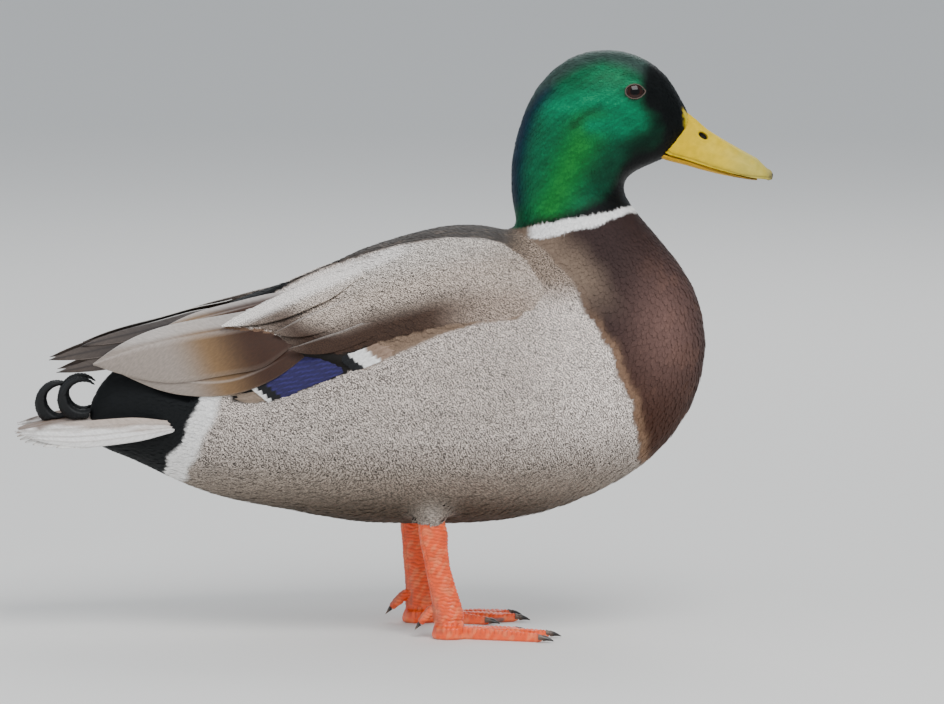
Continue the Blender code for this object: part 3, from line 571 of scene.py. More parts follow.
class Ground:
    """The skin as something that feathers are laid on."""

    def __init__(self, mesh):
        self.points, sharp = mesh_points(mesh), mesh_normals(mesh)
        self.normals = relax(mesh, sharp, 5)
        self.normals /= np.linalg.norm(self.normals, axis=1)[:, None]
        self.faces = triangles(mesh)
        self.tree = BVHTree.FromPolygons(self.points.tolist(), self.faces.tolist())
        calm = relax(mesh, sharp, 14)
        self.even = (sharp * calm).sum(axis=1) / np.linalg.norm(calm, axis=1)

    def bend(self, points):
        """Gives how well the skin agrees with its neighbourhood: 1 where even, less in a crevice."""
        return self.even[self.faces[[self.tree.find_nearest(p)[2] for p in points.tolist()]]].min(axis=1)

    def nearest(self, points):
        """Gives the skin's points and normals nearest to points."""
        found = [self.tree.find_nearest(p) for p in points.tolist()]
        places = np.array([f[0] for f in found])
        corners = self.faces[[f[2] for f in found]]
        weights = 1 / (np.linalg.norm(self.points[corners] - places[:, None], axis=2) + 0.05)
        normals = (self.normals[corners] * weights[..., None]).sum(axis=1)
        return places, normals / np.linalg.norm(normals, axis=1)[:, None]

    def spots(self, spacing, wanted):
        """Gives points spread over the skin, no nearer to each other than the spacing there."""
        corners = self.points[self.faces]
        middle = corners.mean(axis=1)
        cross = np.cross(corners[:, 1] - corners[:, 0], corners[:, 2] - corners[:, 0])
        gap = spacing(middle)
        count = np.linalg.norm(cross, axis=1) / 2 / gap ** 2 * wanted(middle) * 3.2
        many = int(count.sum())
        chosen = CHANCE.choice(len(count), many, p=count / count.sum())
        a, b = CHANCE.random((2, many))
        over = a + b > 1
        a[over], b[over] = 1 - a[over], 1 - b[over]
        c = corners[chosen]
        spots = c[:, 0] + a[:, None] * (c[:, 1] - c[:, 0]) + b[:, None] * (c[:, 2] - c[:, 0])
        return spots[thinned(spots, gap[chosen])]


def thinned(points, gaps):
    """Picks points that stand apart by their gaps, class by class of gap."""
    kept, classes = [], np.round(np.log(gaps) / 0.25).astype(int)
    for kind in np.unique(classes):
        members = np.nonzero(classes == kind)[0]
        gap = float(gaps[members].mean())
        taken, square = {}, gap * gap
        cells = np.floor(points[members] / gap).astype(int).tolist()
        for i, (x, y, z), (px, py, pz) in zip(members.tolist(), cells, points[members].tolist()):
            near = (q for dx in (-1, 0, 1) for dy in (-1, 0, 1) for dz in (-1, 0, 1)
                    for q in taken.get((x + dx, y + dy, z + dz), ()))
            if all((px - q[0]) ** 2 + (py - q[1]) ** 2 + (pz - q[2]) ** 2 >= square for q in near):
                taken.setdefault((x, y, z), []).append((px, py, pz))
                kept.append(i)
    return np.array(kept)


def knee_share(points):
    """Gives how near points are to where a leg leaves the feathers, from 0 to 1."""
    _, y, z = points.T
    apart = ahead_of_knee(points) - 1.5
    return np.exp(-(apart / 11.5) ** 4) * smooth(-z, -88, -75) * smooth(np.abs(y), 18, 26)


def spacing(points):
    """Gives the distance between neighbouring feathers in millimetres."""
    x, _, z = points.T
    face = smooth(x + 0.5 * (z - 290), 105, 150) * smooth(z, 255, 268)
    gap = 1.3 - 0.35 * face
    body = 1.95 + 0.3 * smooth(-z, -120, -80) - 0.45 * smooth(-x, 84, 100)
    body = body * (1 - 0.42 * knee_share(points))
    return gap + (body - gap) * smooth(-z, -228, -192)


def open_roots(ground, roots, blades):
    """Tells which roots are free: not under the wings' long feathers, nor over an eye or the bill."""
    places, up = ground.nearest(roots)
    x, y, z = roots.T
    flat = side_view(roots)
    free = np.isinf(ray_lengths(blades, places + up * 0.1, up, 6.0))
    free &= np.isinf(ray_lengths(ground.tree, places + up * 0.8, up, 7.0))
    for ahead in (0.0, 1.1, 2.2, 3.2):
        oval = np.hypot((flat[:, 0] - ahead - EYE[0]) / 5.5, (flat[:, 1] - EYE_LEVEL) / 4.3)
        free &= (oval > 1) | (np.abs(y) < 9)
    _, _, way = lie(places[:, 0], places[:, 2])
    tips = places + up * 0.3 + np.stack((way[:, 0], np.zeros(len(way)), way[:, 1]), axis=1) * 5.5
    under = ~np.isinf(ray_lengths(blades, tips, up, 5.0))
    free &= ~(under & (z > 176) & (x < 20))
    inward = (up[:, 1] * np.sign(y) < -0.2) & (np.abs(y) > 4)
    wall = (np.abs(up[:, 1]) > 0.7) & (np.abs(y) < 14)
    free &= ~((inward | wall) & (z > 150) & (x < 60))
    least = np.where((z > 150) & (x < 20), 0.96, 0.88)
    free &= ~((z > 112) & (z < 212) & (ground.bend(places) < least))
    patch = (line_distance(flat, PATCH, closed=True) < 0) & (np.abs(y) > 38)
    return free & ~patch & (line_distance(flat, WEDGE, closed=True) > 0.3)


def vane_shape(rows=(0.3, 0.6, 0.85), widths=(0.75, 1.0, 0.72), arch=0.13):
    """Makes one small closed vane: rows of three along it, pointed ends and a flat underside."""
    bm = bmesh.new()
    bmesh.ops.create_grid(bm, x_segments=len(rows) + 1, y_segments=2, size=1.0)
    along = (0.0, *rows, 1.0)
    wide = (0.0, *widths, 0.0)
    for vert in bm.verts:
        row = round((vert.co.x + 1) / 2 * (len(along) - 1))
        side = round(vert.co.y)
        vert.co = (along[row], side * wide[row], arch * wide[row] * (1 - abs(side)))
    bmesh.ops.remove_doubles(bm, verts=bm.verts, dist=1e-5)
    bmesh.ops.dissolve_degenerate(bm, edges=bm.edges, dist=1e-6)
    bmesh.ops.contextual_create(bm, geom=[edge for edge in bm.edges if edge.is_boundary])
    for row in rows:
        pair = [vert for vert in bm.verts if abs(vert.co.x - row) < 1e-4 and abs(vert.co.y) > 0.1]
        bmesh.ops.connect_verts(bm, verts=pair)
    bmesh.ops.recalc_face_normals(bm, faces=bm.faces)
    bmesh.ops.triangulate(bm, faces=bm.faces)
    bm.verts.ensure_lookup_table()
    points = np.array([v.co for v in bm.verts]).round(5)
    faces = np.array([[v.index for v in f.verts] for f in bm.faces])
    bm.free()
    return points, faces


VANE = vane_shape()


def soft_normals(points, faces, under, share):
    """Gives normals of vanes turned part of the way to those of the skin below."""
    cross = np.cross(points[faces[:, 1]] - points[faces[:, 0]], points[faces[:, 2]] - points[faces[:, 0]])
    up = (cross * under[faces[:, 0]]).sum(axis=1) > 0
    own = np.zeros_like(points)
    for k in range(3):
        for c in range(3):
            own[:, k] += np.bincount(faces[up, c], cross[up, k], len(points))
    own /= np.linalg.norm(own, axis=1)[:, None] + 1e-12
    normals = own * (1 - share) + under * share
    return normals / np.linalg.norm(normals, axis=1)[:, None]


def bake_places(roots):
    """Gives each root's place on an unwrap of the body: along it, and round it."""
    number, height, _ = lie(roots[:, 0], roots[:, 2])
    turn = np.arctan2(roots[:, 1] / 60.0, height * 2 - 1) / math.tau + 0.5
    return np.stack((0.04 + 0.9 * number / (len(LINES) - 1), 0.04 + 0.9 * turn), axis=1)


def turned_over(points, shape, faces, up):
    """Finds the vanes of which a part of the upper side looks down."""
    flat = np.cross(shape[faces[:, 1]] - shape[faces[:, 0]], shape[faces[:, 2]] - shape[faces[:, 0]])
    a, b, c = (points[:, column] for column in faces[flat[:, 2] > 0].T)
    return ((np.cross(b - a, c - a) * up[:, None]).sum(axis=2) < 0).any(axis=1)


def shaped(ground, laid, stiff):
    """Bends vanes to the skin, or keeps them straight where stiff. Gives points and skin normals."""
    places, up, ways, aside, length, width, lift = laid
    shape, _ = VANE
    points = np.empty((len(places), len(shape), 3))
    normals = np.empty_like(points)
    for step in np.unique(shape[:, 0]):
        straight = places + ways * (length * step)[:, None]
        spine, over = ground.nearest(straight)
        edge = ((over * up).sum(axis=1) < 0.8) | (np.linalg.norm(spine - straight, axis=1) > 1.6) | stiff
        spine[edge], over[edge] = straight[edge] - up[edge] * 0.4 * step, up[edge]
        rise = (lift * step ** 1.1 - 0.25)[:, None]
        for i in np.nonzero(shape[:, 0] == step)[0]:
            across = aside - over * (aside * over).sum(axis=1)[:, None]
            points[:, i] = spine + across * (width * shape[i, 1])[:, None] + over * (
                rise + (width * shape[i, 2])[:, None])
            normals[:, i] = over
    return points, normals


def lay(ground, roots, length, width, lift, turn=0.12):
    """Lays a vane at each root along the lie. Gives points, faces, skin normals, u and v, roots."""
    places, up = ground.nearest(roots)
    _, _, flat = lie(places[:, 0], places[:, 2])
    ways = np.stack((flat[:, 0], np.zeros(len(flat)), flat[:, 1]), axis=1)
    hang = knee_share(places)[:, None]
    ways = ways * (1 - hang) + hang * np.array((-0.3, 0.0, -0.95))
    ways = ways - up * (ways * up).sum(axis=1)[:, None]
    ways /= np.linalg.norm(ways, axis=1)[:, None] + 1e-9
    aside = np.cross(up, ways)
    swing = CHANCE.normal(0, turn, len(roots))[:, None]
    ways, aside = ways * np.cos(swing) + aside * np.sin(swing), aside * np.cos(swing) - ways * np.sin(swing)
    size = 1 + CHANCE.normal(0, 0.08, (2, len(roots)))
    lift = lift * (1 + CHANCE.normal(0, 0.12, len(roots)))
    laid = places, up, ways, aside, length * size[0], width * size[1], lift
    shape, faces = VANE
    points, _ = shaped(ground, laid, np.zeros(len(roots), bool))
    points, normals = shaped(ground, laid, turned_over(points, shape, faces, up))
    count = len(roots) * len(shape)
    index = (faces[None] + np.arange(len(roots))[:, None, None] * len(shape)).reshape(-1, 3)
    local = np.stack((shape[:, 1] / 2 + 0.5, shape[:, 0]), axis=1)
    local = np.tile(local, (len(roots), 1))
    return points.reshape(count, 3), index, normals.reshape(count, 3), local, places


def feather_mesh(name, points, faces, normals, local, roots, colours, marks):
    """Makes a mesh of laid vanes with its colours, marks and the two UV maps."""
    each = len(points) // len(roots)
    mesh = bpy.data.meshes.new(name)
    mesh.vertices.add(len(points))
    mesh.loops.add(faces.size)
    mesh.polygons.add(len(faces))
    mesh.vertices.foreach_set("co", (points * MM).ravel())
    mesh.loops.foreach_set("vertex_index", faces.ravel())
    mesh.polygons.foreach_set("loop_start", np.arange(0, faces.size, 3))
    mesh.update(calc_edges=True)
    mesh.validate()
    paint_points(mesh, colours, marks)
    corners = faces.ravel()
    mesh.uv_layers.new(name="Vane").data.foreach_set("uv", local[corners].ravel())
    patch = np.repeat(bake_places(roots), each, axis=0) + (local - 0.5) * BAKE_PATCH
    mesh.uv_layers.new(name="OFBake").data.foreach_set("uv", patch[corners].ravel())
    mesh.shade_smooth()
    mesh.normals_split_custom_set_from_vertices(soft_normals(points, faces, normals, SOFT))
    return mesh


def region(points):
    """Names the part of the plumage that each point belongs to."""
    flat, y = side_view(points), points[:, 1]
    x, level = flat.T
    number, _, _ = lie(x, points[:, 2])
    scapular = line_distance(flat, SCAPULAR, closed=True)
    names = np.full(len(points), "flank_right", dtype=object)
    names[y > 0] = "flank_left"
    names[level < 92] = "belly"
    names[(number > 5) & (line_distance(flat, BREAST_EDGE) > 0)] = "breast"
    names[level > 178 + 0.35 * x] = "mantle"
    names[(scapular < 0) & (y < 0)] = "scapulars_right"
    names[(scapular < 0) & (y > 0)] = "scapulars_left"
    names[(x < -112)] = "stern"
    names[number > 9.6] = "neck"
    names[number > 13.4] = "head"
    return names


def make_coat(ground, finishes, blades):
    """Lays the contour feathers over the whole skin, one piece for each part of the plumage."""
    roots = ground.spots(spacing, lambda p: np.ones(len(p)))
    roots = roots[open_roots(ground, roots, blades)]
    names = region(roots)
    for name in np.unique(names):
        mine = roots[names == name]
        gap = spacing(mine)
        lift = coat_depth(mine) * 0.6
        length = gap * (3.4 + 2.2 * knee_share(mine))
        points, faces, normals, local, places = lay(ground, mine, length, gap * 0.72, lift)
        each = len(points) // len(mine)
        heart = points.reshape(len(mine), each, 3)[:, VANE[0][:, 0] == 0.6].mean(axis=1)
        colour, waves, green = plumage(points * 0.55 + np.repeat(heart, each, axis=0) * 0.45)
        shade = np.repeat(1 + CHANCE.normal(0, 0.045, len(mine)), each)
        colour = np.clip(colour * (shade * (0.94 + 0.1 * local[:, 1]))[:, None], 0, 1)
        marks = np.stack((waves, np.repeat(CHANCE.random(len(mine)), each), green), axis=1)
        mesh = feather_mesh(f"coat_{name}", points, faces, normals, local, places, colour, marks)
        piece(mesh, f"coat_{name}", SLOTS.get(name, "body_feathers"), finishes["contour"])


# ---- Long feathers --------------------------------------------------------------------------
# Spines run from base to tip as x and level, with half widths above and below, the height over the
# plate, and how much of the length the pointed end takes.
SCAPULAR_BLADES = (
    (((-2, 176), (-22, 166), (-38, 161), (-52, 159.6), (-60, 161)), 7, 3.5, 0.3, 0.5),
    (((-12, 188), (-35, 177), (-55, 170.5), (-68, 169.6)), 7.5, 5, 0.5, 0.5),
    (((-18, 205), (-45, 193), (-70, 182), (-97.5, 173.6)), 6.5, 7.5, 0.7, 0.55))
TERTIAL_BLADES = (
    (((-46, 193), (-75, 186.8), (-94, 182), (-112, 177.6), (-133, 171.3)), 4.5, 6, 0.4, 0.4),
    (((-40, 168), (-64, 154), (-86, 143.5), (-104, 141), (-125, 143), (-146, 148.6), (-164, 151.6)),
     10, 8, 0.3, 0.35),
    (((-46, 181), (-79, 173.8), (-95, 171), (-122, 166.4), (-146, 161), (-170.3, 152)), 9, 25, 1.4, 0.45))
PRIMARY_BLADES = (
    (((-95, 170), (-130, 161), (-160, 153.5), (-191.5, 147.2)), 5, 4.5, 0.1, 0.45),
    (((-95, 178), (-130, 169), (-160, 162), (-182, 157.3), (-195.8, 154.4)), 5, 5, 0.7, 0.4),
    (((-92, 184.5), (-115, 178.5), (-140, 171.3), (-165, 165.6), (-177, 162.4)), 3.4, 4, 1.3, 0.4))
UNDER_BLADES = ((((-50, 146), (-72, 138), (-84, 134.8), (-94.5, 135)), 4, 3),
                (((-46, 142), (-68, 134), (-80, 131.6), (-90, 132.4)), 4, 2.4))
SECONDARY_TIPS, COVERT_TIPS = ((-83, 140.2), (-69.8, 129.4)), ((-34.5, 157.6), (-23, 148))
WING_SLOPE, WING_RUN = 0.364, 0.94         # the speculum's feathers rise forwards by twenty degrees
SHEET = 0.00035


def fitted(samples, values, centre, scale):
    """Fits values over pairs of numbers with a cubic, and gives it as a function."""
    def terms(a, b):
        a, b = (a - centre[0]) / scale[0], (b - centre[1]) / scale[1]
        return np.stack([a ** i * b ** j for i in range(4) for j in range(4 - i)], axis=-1)
    weights = np.linalg.lstsq(terms(*np.asarray(samples).T), np.asarray(values), rcond=None)[0]
    return lambda a, b: terms(a, b) @ weights


def outer_face(name):
    """Gives how far out a plate of the wing lies, as a smooth function of x and level."""
    bm = joined_copy([name])
    bm.normal_update()
    rows = [(v.co / MM).to_tuple() for v in bm.verts if v.normal.y * v.co.y > 0.3 * abs(v.co.y)]
    bm.free()
    points = np.array(rows)
    flat = side_view(points)
    return fitted(flat, np.abs(points[:, 1]), flat.mean(axis=0), np.ptp(flat, axis=0))


def curve_line(corners, many=160):
    """Gives a smooth line through corners, evenly spaced, and its length."""
    corners = np.array(corners, float)
    for _ in range(3):
        middle = corners[:-1] * 0.75 + corners[1:] * 0.25, corners[:-1] * 0.25 + corners[1:] * 0.75
        inner = np.stack(middle, axis=1).reshape(-1, corners.shape[1])
        corners = np.concatenate((corners[:1], inner, corners[-1:]))
    steps = np.linalg.norm(np.diff(corners, axis=0), axis=1)
    run = np.concatenate(((0.0,), np.cumsum(steps)))
    at = np.linspace(0, run[-1], many)
    return np.stack([np.interp(at, run, column) for column in corners.T], axis=1), run[-1]


def new_blades():
    """Gives an empty bmesh with the layers that long feathers carry."""
    bm = bmesh.new()
    bm.verts.layers.float_color.new("Plume")
    bm.verts.layers.float_color.new("Marks")
    bm.loops.layers.uv.new("Vane")
    bm.loops.layers.uv.new("OFBake")
    return bm


def add_blade(bm, number, spine, up, down, lift, point, place, paint, rows=56, columns=10, sharp=2.2):
    """Adds a long feather: a grid bent along its spine, with a raised shaft and furrowed vane."""
    made = bmesh.ops.create_grid(bm, x_segments=rows, y_segments=columns, size=1.0)["verts"]
    flat = np.array([vert.co[:2] for vert in made])
    along, across = (flat[:, 0] + 1) / 2, flat[:, 1]
    line, length = curve_line(spine)
    at, index = along * (len(line) - 1), np.arange(len(line))
    way = np.gradient(line, axis=0)
    way /= np.linalg.norm(way, axis=1)[:, None]
    spot = np.stack([np.interp(at, index, column) for column in line.T], axis=1)
    turn = np.stack([np.interp(at, index, column) for column in way.T], axis=1)
    pointed = 1 - np.clip((along - 1 + point) / point, 0, 1) ** sharp
    wide = np.where(across > 0, up, down) * (0.45 + 0.55 * smooth(along, 0, 0.3)) * np.maximum(pointed, 0.02)
    run = across * wide
    spot = spot + np.stack((turn[:, 1], -turn[:, 0]), axis=1) * run[:, None]
    mm = along * length
    height = lift - 1.8 * (1 - smooth(along, 0.0, 0.25)) - 0.5 * across ** 2
    height = height + 0.4 * np.exp(-(run / 0.55) ** 2) * (1 - 0.6 * along)
    height = height + 0.07 * np.sin((mm - 1.1 * np.abs(run)) * math.tau / 5.0 + number)
    points = place(spot[:, 0], spot[:, 1], height)
    colour, marks = paint(points, length - mm, run, across)
    plume, mark = (bm.verts.layers.float_color[name] for name in ("Plume", "Marks"))
    vane, bake = (bm.loops.layers.uv[name] for name in ("Vane", "OFBake"))
    maps = {}
    for i, vert in enumerate(made):
        vert.co = points[i] * MM
        vert[plume], vert[mark] = (*colour[i], 1.0), (*marks[i], 1.0)
        maps[vert] = ((0.5 + run[i] / 100, mm[i] / 100),
                      ((number + 0.5 + across[i] * 0.42) / 40, 0.04 + 0.9 * along[i]))
    for face in {face for vert in made for face in vert.link_faces}:
        for loop in face.loops:
            loop[vane].uv, loop[bake].uv = maps[loop.vert]


def close_blades(bm, name, slot, finish, *nodes):
    """Gives the feathers of a bmesh their thickness and puts them in the scene."""
    bmesh.ops.recalc_face_normals(bm, faces=bm.faces)
    bmesh.ops.solidify(bm, geom=bm.faces[:], thickness=SHEET)
    bmesh.ops.recalc_face_normals(bm, faces=bm.faces)
    mesh = as_mesh(bm, name)
    mesh.shade_smooth()
    return piece(mesh, name, slot, finish, *nodes)


def on_plate(face, sign):
    """Gives the function that puts points of the side view on a wing plate."""
    def place(x, level, height):
        out = face(x, level) + height
        return np.stack((x, out * sign, level + LEVEL_FALL * out), axis=1)
    return place


def plain(points, sheen=0.0):
    """Gives the marks of long feathers, which have no fine waves but may have a sheen."""
    return np.tile((0.0, 0.5, sheen), (len(points), 1))


def paint_tertial(points, tip, run, across):
    """Tertials: silvery grey at the tip and upper edge, dark brown towards the front below."""
    x = points[:, 0]
    level = side_view(points)[:, 1]
    front = smooth(x - 0.5 * (165 - level), -150, -72)
    colour = mix("#968a80", "#7d603f", smooth(front, 0.1, 0.6))
    colour = mix(colour, "#361a07", smooth(front, 0.5, 1.0))
    colour = mix(colour, "#c4bcb6", smooth(run, 0.4, 4.0) * smooth(level, 158, 166) * 0.75)
    colour = mix(colour, "#cfc2b9", np.exp(-(run / 0.4) ** 2) * smooth(-x, 60, 100) * 0.35)
    quiet = 1 - 0.8 * front
    colour = mix(colour, "#cdbdb0", smooth(-across, 0.955, 0.99) * 0.4 * quiet)
    colour = mix(colour, "#e2dcd6", smooth(across, 0.92, 0.99) * 0.5 * quiet)
    return colour, plain(points)


def paint_scapular(points, tip, run, across):
    """Rear scapulars: the shoulder's own colours."""
    flat = side_view(points)
    colour, waves = shoulder_colours(flat)
    colour = mix(colour, "#d9d2cb", smooth(across, 0.8, 0.98) * 0.3)
    return colour, np.stack((waves * 0.9, np.full(len(waves), 0.5), np.zeros(len(waves))), axis=1)


def paint_primary(points, tip, run, across):
    """Primaries: dusky brown with thin pale edges."""
    colour = mix("#3f3733", "#5a4f48", smooth(-tip, -45, -5) * 0.7)
    colour = mix(colour, "#2c2624", np.exp(-(run / 0.5) ** 2) * 0.8)
    colour = mix(colour, "#e8e4de", smooth(across, 0.9, 0.98) * smooth(points[:, 0], -150, -128))
    colour = mix(colour, "#9a8d84", smooth(-across, 0.93, 0.99) * 0.8)
    return colour, plain(points)


def paint_under(points, tip, run, across):
    """Ends of the wing's feathers below the speculum: grey-brown with pale edges."""
    colour = mix("#8a7868", "#b5a597", smooth(np.abs(across), 0.5, 0.95) * 0.7)
    return colour, plain(points)


def paint_secondary(points, tip, run, across):
    """Secondaries: violet-blue speculum with a black and a white bar at the end."""
    blue = mix("#272150", "#3c3580", smooth(np.sin(tip * 0.5 + run * 2.1), 0.2, 1.0) * 0.5)
    colour = mix(blue, "#1b1c3e", np.exp(-((run + 2.6) / 0.5) ** 2) * 0.8)
    colour = mix(colour, "#0b0c10", 1 - smooth(tip - 0.1 * run, 8.6, 9.5))
    colour = mix(colour, "#f2f0ed", 1 - smooth(tip - 0.1 * run, 2.8, 3.5))
    return colour, plain(points, 0.45)


def paint_covert(points, tip, run, across):
    """Greater coverts: black end, white band, then grey-brown."""
    colour = mix("#f2f0ed", "#8d7564", smooth(tip, 15.5, 18))
    colour = mix(colour, "#0b0c10", 1 - smooth(tip + 0.2 * run, 6.0, 7.0))
    return colour, plain(points, 0.1)


def make_wings(finishes):
    """Lays the long feathers of both folded wings over the plates, and gives them as one surface."""
    laid = []
    for side, sign in SIDES:
        face = {part: outer_face(f"wing_{side}_{part}")
                for part in ("coverts", "tertials", "secondaries", "primaries")}
        for part, table, paint, slot in (("primaries", PRIMARY_BLADES, paint_primary, "primary_feathers"),
                                         ("tertials", TERTIAL_BLADES, paint_tertial, "tertial_feathers"),
                                         ("coverts", SCAPULAR_BLADES, paint_scapular, "covert_feathers")):
            bm = new_blades()
            for i, (spine, up, down, lift, point) in enumerate(table):
                add_blade(bm, i, spine, up, down, lift, point, on_plate(face[part], sign), paint, 72, 16)
            stands = () if part == "coverts" else (f"wing_{side}_{part}",)
            finish = finishes["contour" if part == "coverts" else "flight"]
            laid.append(close_blades(bm, f"{part}_{side}", slot, finish, *stands))
        bm, place = new_blades(), on_plate(face["secondaries"], sign)
        for i, (spine, up, down) in enumerate(UNDER_BLADES):
            add_blade(bm, 30 + i, spine, up, down, 0.1, 0.3, place, paint_under, 40, 8)
        for i in range(6):
            tip = np.array(SECONDARY_TIPS[0]) + (np.subtract(*SECONDARY_TIPS[::-1])) * i / 5
            base = tip + np.array((1, WING_SLOPE)) * 62 * WING_RUN
            add_blade(bm, i, (base, tip), 4.2, 4.2 if i < 5 else 1.2, 0.25 + 0.28 * (5 - i), 0.07, place,
                      paint_secondary, 84, 10, 3.0)
        for i in range(5):
            tip = np.array(COVERT_TIPS[0]) + (np.subtract(*COVERT_TIPS[::-1])) * i / 4
            base = tip + np.array((1, WING_SLOPE)) * 30 * WING_RUN
            add_blade(bm, 10 + i, (base, tip), 3.6, 3.6 if i < 4 else 1.0, 3.0 + 0.2 * (4 - i), 0.14, place,
                      paint_covert, 40, 8, 3.0)
        laid.append(close_blades(bm, f"speculum_{side}", "speculum_feathers", finishes["speculum"],
                                 f"wing_{side}_secondaries"))
    bm = bmesh.new()
    for made in laid:
        bm.from_mesh(made.data)
    bm.transform(Matrix.Scale(1 / MM, 4))
    tree = BVHTree.FromBMesh(bm)
    bm.free()
    return tree


# ---- Tail -----------------------------------------------------------------------------------
# Tips of the tail feathers of one side as x and y, from the middle outwards.
TAIL_TIPS = ((-213.6, 3.5), (-214.3, 9.5), (-213.8, 15), (-212, 20), (-209, 24.5), (-204.5, 28.6),
             (-198.5, 32), (-191, 34.4), (-181, 35.4))
# The outer feathers seen from the side, as x and level, lowest first, and how far out they lie.
TAIL_SIDE = (
    (((-121, 115.6), (-148, 110.8), (-174, 107.6), (-193, 108.2), (-207, 110)), 3.4),
    (((-121, 116.5), (-150, 113.8), (-176, 110.8), (-198, 111), (-214.5, 112.8)), 3.6),
    (((-122, 118), (-148, 118.2), (-175, 116), (-198, 114.6), (-215, 113.8)), 3.8))
# How far out the tail's edge lies, as x and distance from the middle plane.
TAIL_EDGE = ((-216, -209, -198, -181, -165, -145, -121), (19, 24.5, 31, 34.8, 36.2, 36.8, 36.0))


def paint_tail(points, tip, run, across):
    """Tail feathers: grey-brown in the middle of the fan, white outside."""
    out = smooth(np.abs(points[:, 1]) + 0.15 * (points[:, 0] + 200), 9, 24)
    colour = mix("#8b786c", "#f0ede8", out * 0.85 + 0.15 * smooth(np.abs(across), 0.5, 0.95))
    colour = mix(colour, "#7a6a60", np.exp(-((run + 2.0) / 1.4) ** 2) * 0.35 * smooth(tip, 8, 30))
    colour = mix(colour, "#a89c92", np.exp(-(run / 0.4) ** 2) * 0.7)
    return colour, plain(points)


def paint_tail_side(points, tip, run, across):
    """Outer tail feathers: white, with beige and brown towards the upper edge of the tail."""
    level = side_view(points)[:, 1]
    high = smooth(level + rough(points * (0.25, 1, 1.4), 2.2) * 1.5, 112.5, 118.5)
    colour = mix("#f4f1ee", "#b5a294", high * 0.9)
    colour = mix(colour, "#5a4842", high * smooth(-points[:, 0], 178, 205) * 0.75)
    colour = mix(colour, "#9c8c80", np.exp(-(run / 0.35) ** 2) * 0.4)
    return colour, plain(points)


def make_tail(finishes):
    """Makes the fan of tail feathers, the outer ones lowest."""
    bm = joined_copy(["tail"])
    bm.normal_update()
    rows = np.array([(v.co / MM).to_tuple() for v in bm.verts if v.normal.z > 0.3])
    bm.free()
    top = fitted(rows[:, :2], rows[:, 2], (-165, 0), (50, 36))
    blades, last = new_blades(), len(TAIL_TIPS) - 1
    for sign in (-1, 1):
        for i, (x, y) in enumerate(TAIL_TIPS):
            def place(px, py, height):
                py = py * sign
                return np.stack((px, py, top(px, py) - 0.4 + height), axis=1)
            spine = ((-121, 1.5 + 2.2 * i), (-150, 2.6 + (y - 2.6) * 0.42 + 0.3 * i), (x, y))
            add_blade(blades, i + (last + 1) * (sign > 0), spine, 5.6, 5.6, 0.35 * (last - i) - 2.0, 0.24,
                      place, paint_tail, 64, 10, 2.6)
        for i, (spine, wide) in enumerate(TAIL_SIDE):
            def beside(x, level, height):
                out = np.interp(x, *TAIL_EDGE) + height
                return np.stack((x, out * sign, level + LEVEL_FALL * out), axis=1)
            add_blade(blades, 24 + i + 6 * (sign > 0), spine, wide, wide, 1.2 - 0.28 * i, 0.45, beside,
                      paint_tail_side, 64, 10, 2.0)
    close_blades(blades, "tail_fan", "tail_feathers", finishes["flight"], "tail")


def make_curls(finishes):
    """Makes the four curled feathers over the tail, furrowed along their barbs."""
    for side, _ in SIDES:
        for place in ("front", "rear"):
            name = f"tail_curl_{side}_{place}"
            mesh = remeshed(joined_copy([name]), 0.00055)
            points = relax(mesh, mesh_points(mesh), 3)
            normals = mesh_normals(mesh)
            middle = points[points[:, 2] > 124].mean(axis=0)
            turn = np.arctan2(points[:, 2] - middle[2], points[:, 0] - middle[0])
            points += normals * (0.12 * np.sin(turn * 42 + points[:, 1] * 2.4))[:, None]
            set_points(mesh, points)
            paint_points(mesh, np.tile(to_linear("#06080a"), (len(points), 1)), (0, 0.5, 0))
            mesh.shade_smooth()
            piece(mesh, f"curl_{side}_{place}", "black_feathers", finishes["curl"], name)


# ---- Eyes -----------------------------------------------------------------------------------
APERTURE = (4.95, 3.8)                      # half the opening between the lids, along and up
LID_WIDTH, LID_HEIGHT = 0.32, 0.4
LID_EDGE = (5.5, 4.35)                      # half the lids' own outline
EYE_FORM = (8.3, 7.2, 6.1)                 # the eyeball's half axes forward, up and out
PUPIL, IRIS, BEHIND = 2.3, 4.9, 50.0       # radii seen from outside, and one for the hidden half


def eye_frame(side, sign):
    """Gives an eye's centre, and its ways forward, up and out."""
    low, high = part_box(f"eye_{side}")
    centre = np.array((low + high) / 2) / MM
    out = np.array((0.12, sign * 0.97, 0.2))
    out /= np.linalg.norm(out)
    up = np.array((0, 0, 1.0)) - out * out[2]
    up /= np.linalg.norm(up)
    fore = np.cross(up, out) * -sign
    return centre, fore * (1 if fore[0] > 0 else -1), up, out


def eye_height(u, v):
    """Gives how far the eyeball stands out at a place ahead of and above its middle."""
    return EYE_FORM[2] * np.sqrt(np.maximum(1 - (u / EYE_FORM[0]) ** 2 - (v / EYE_FORM[1]) ** 2, 0.05))


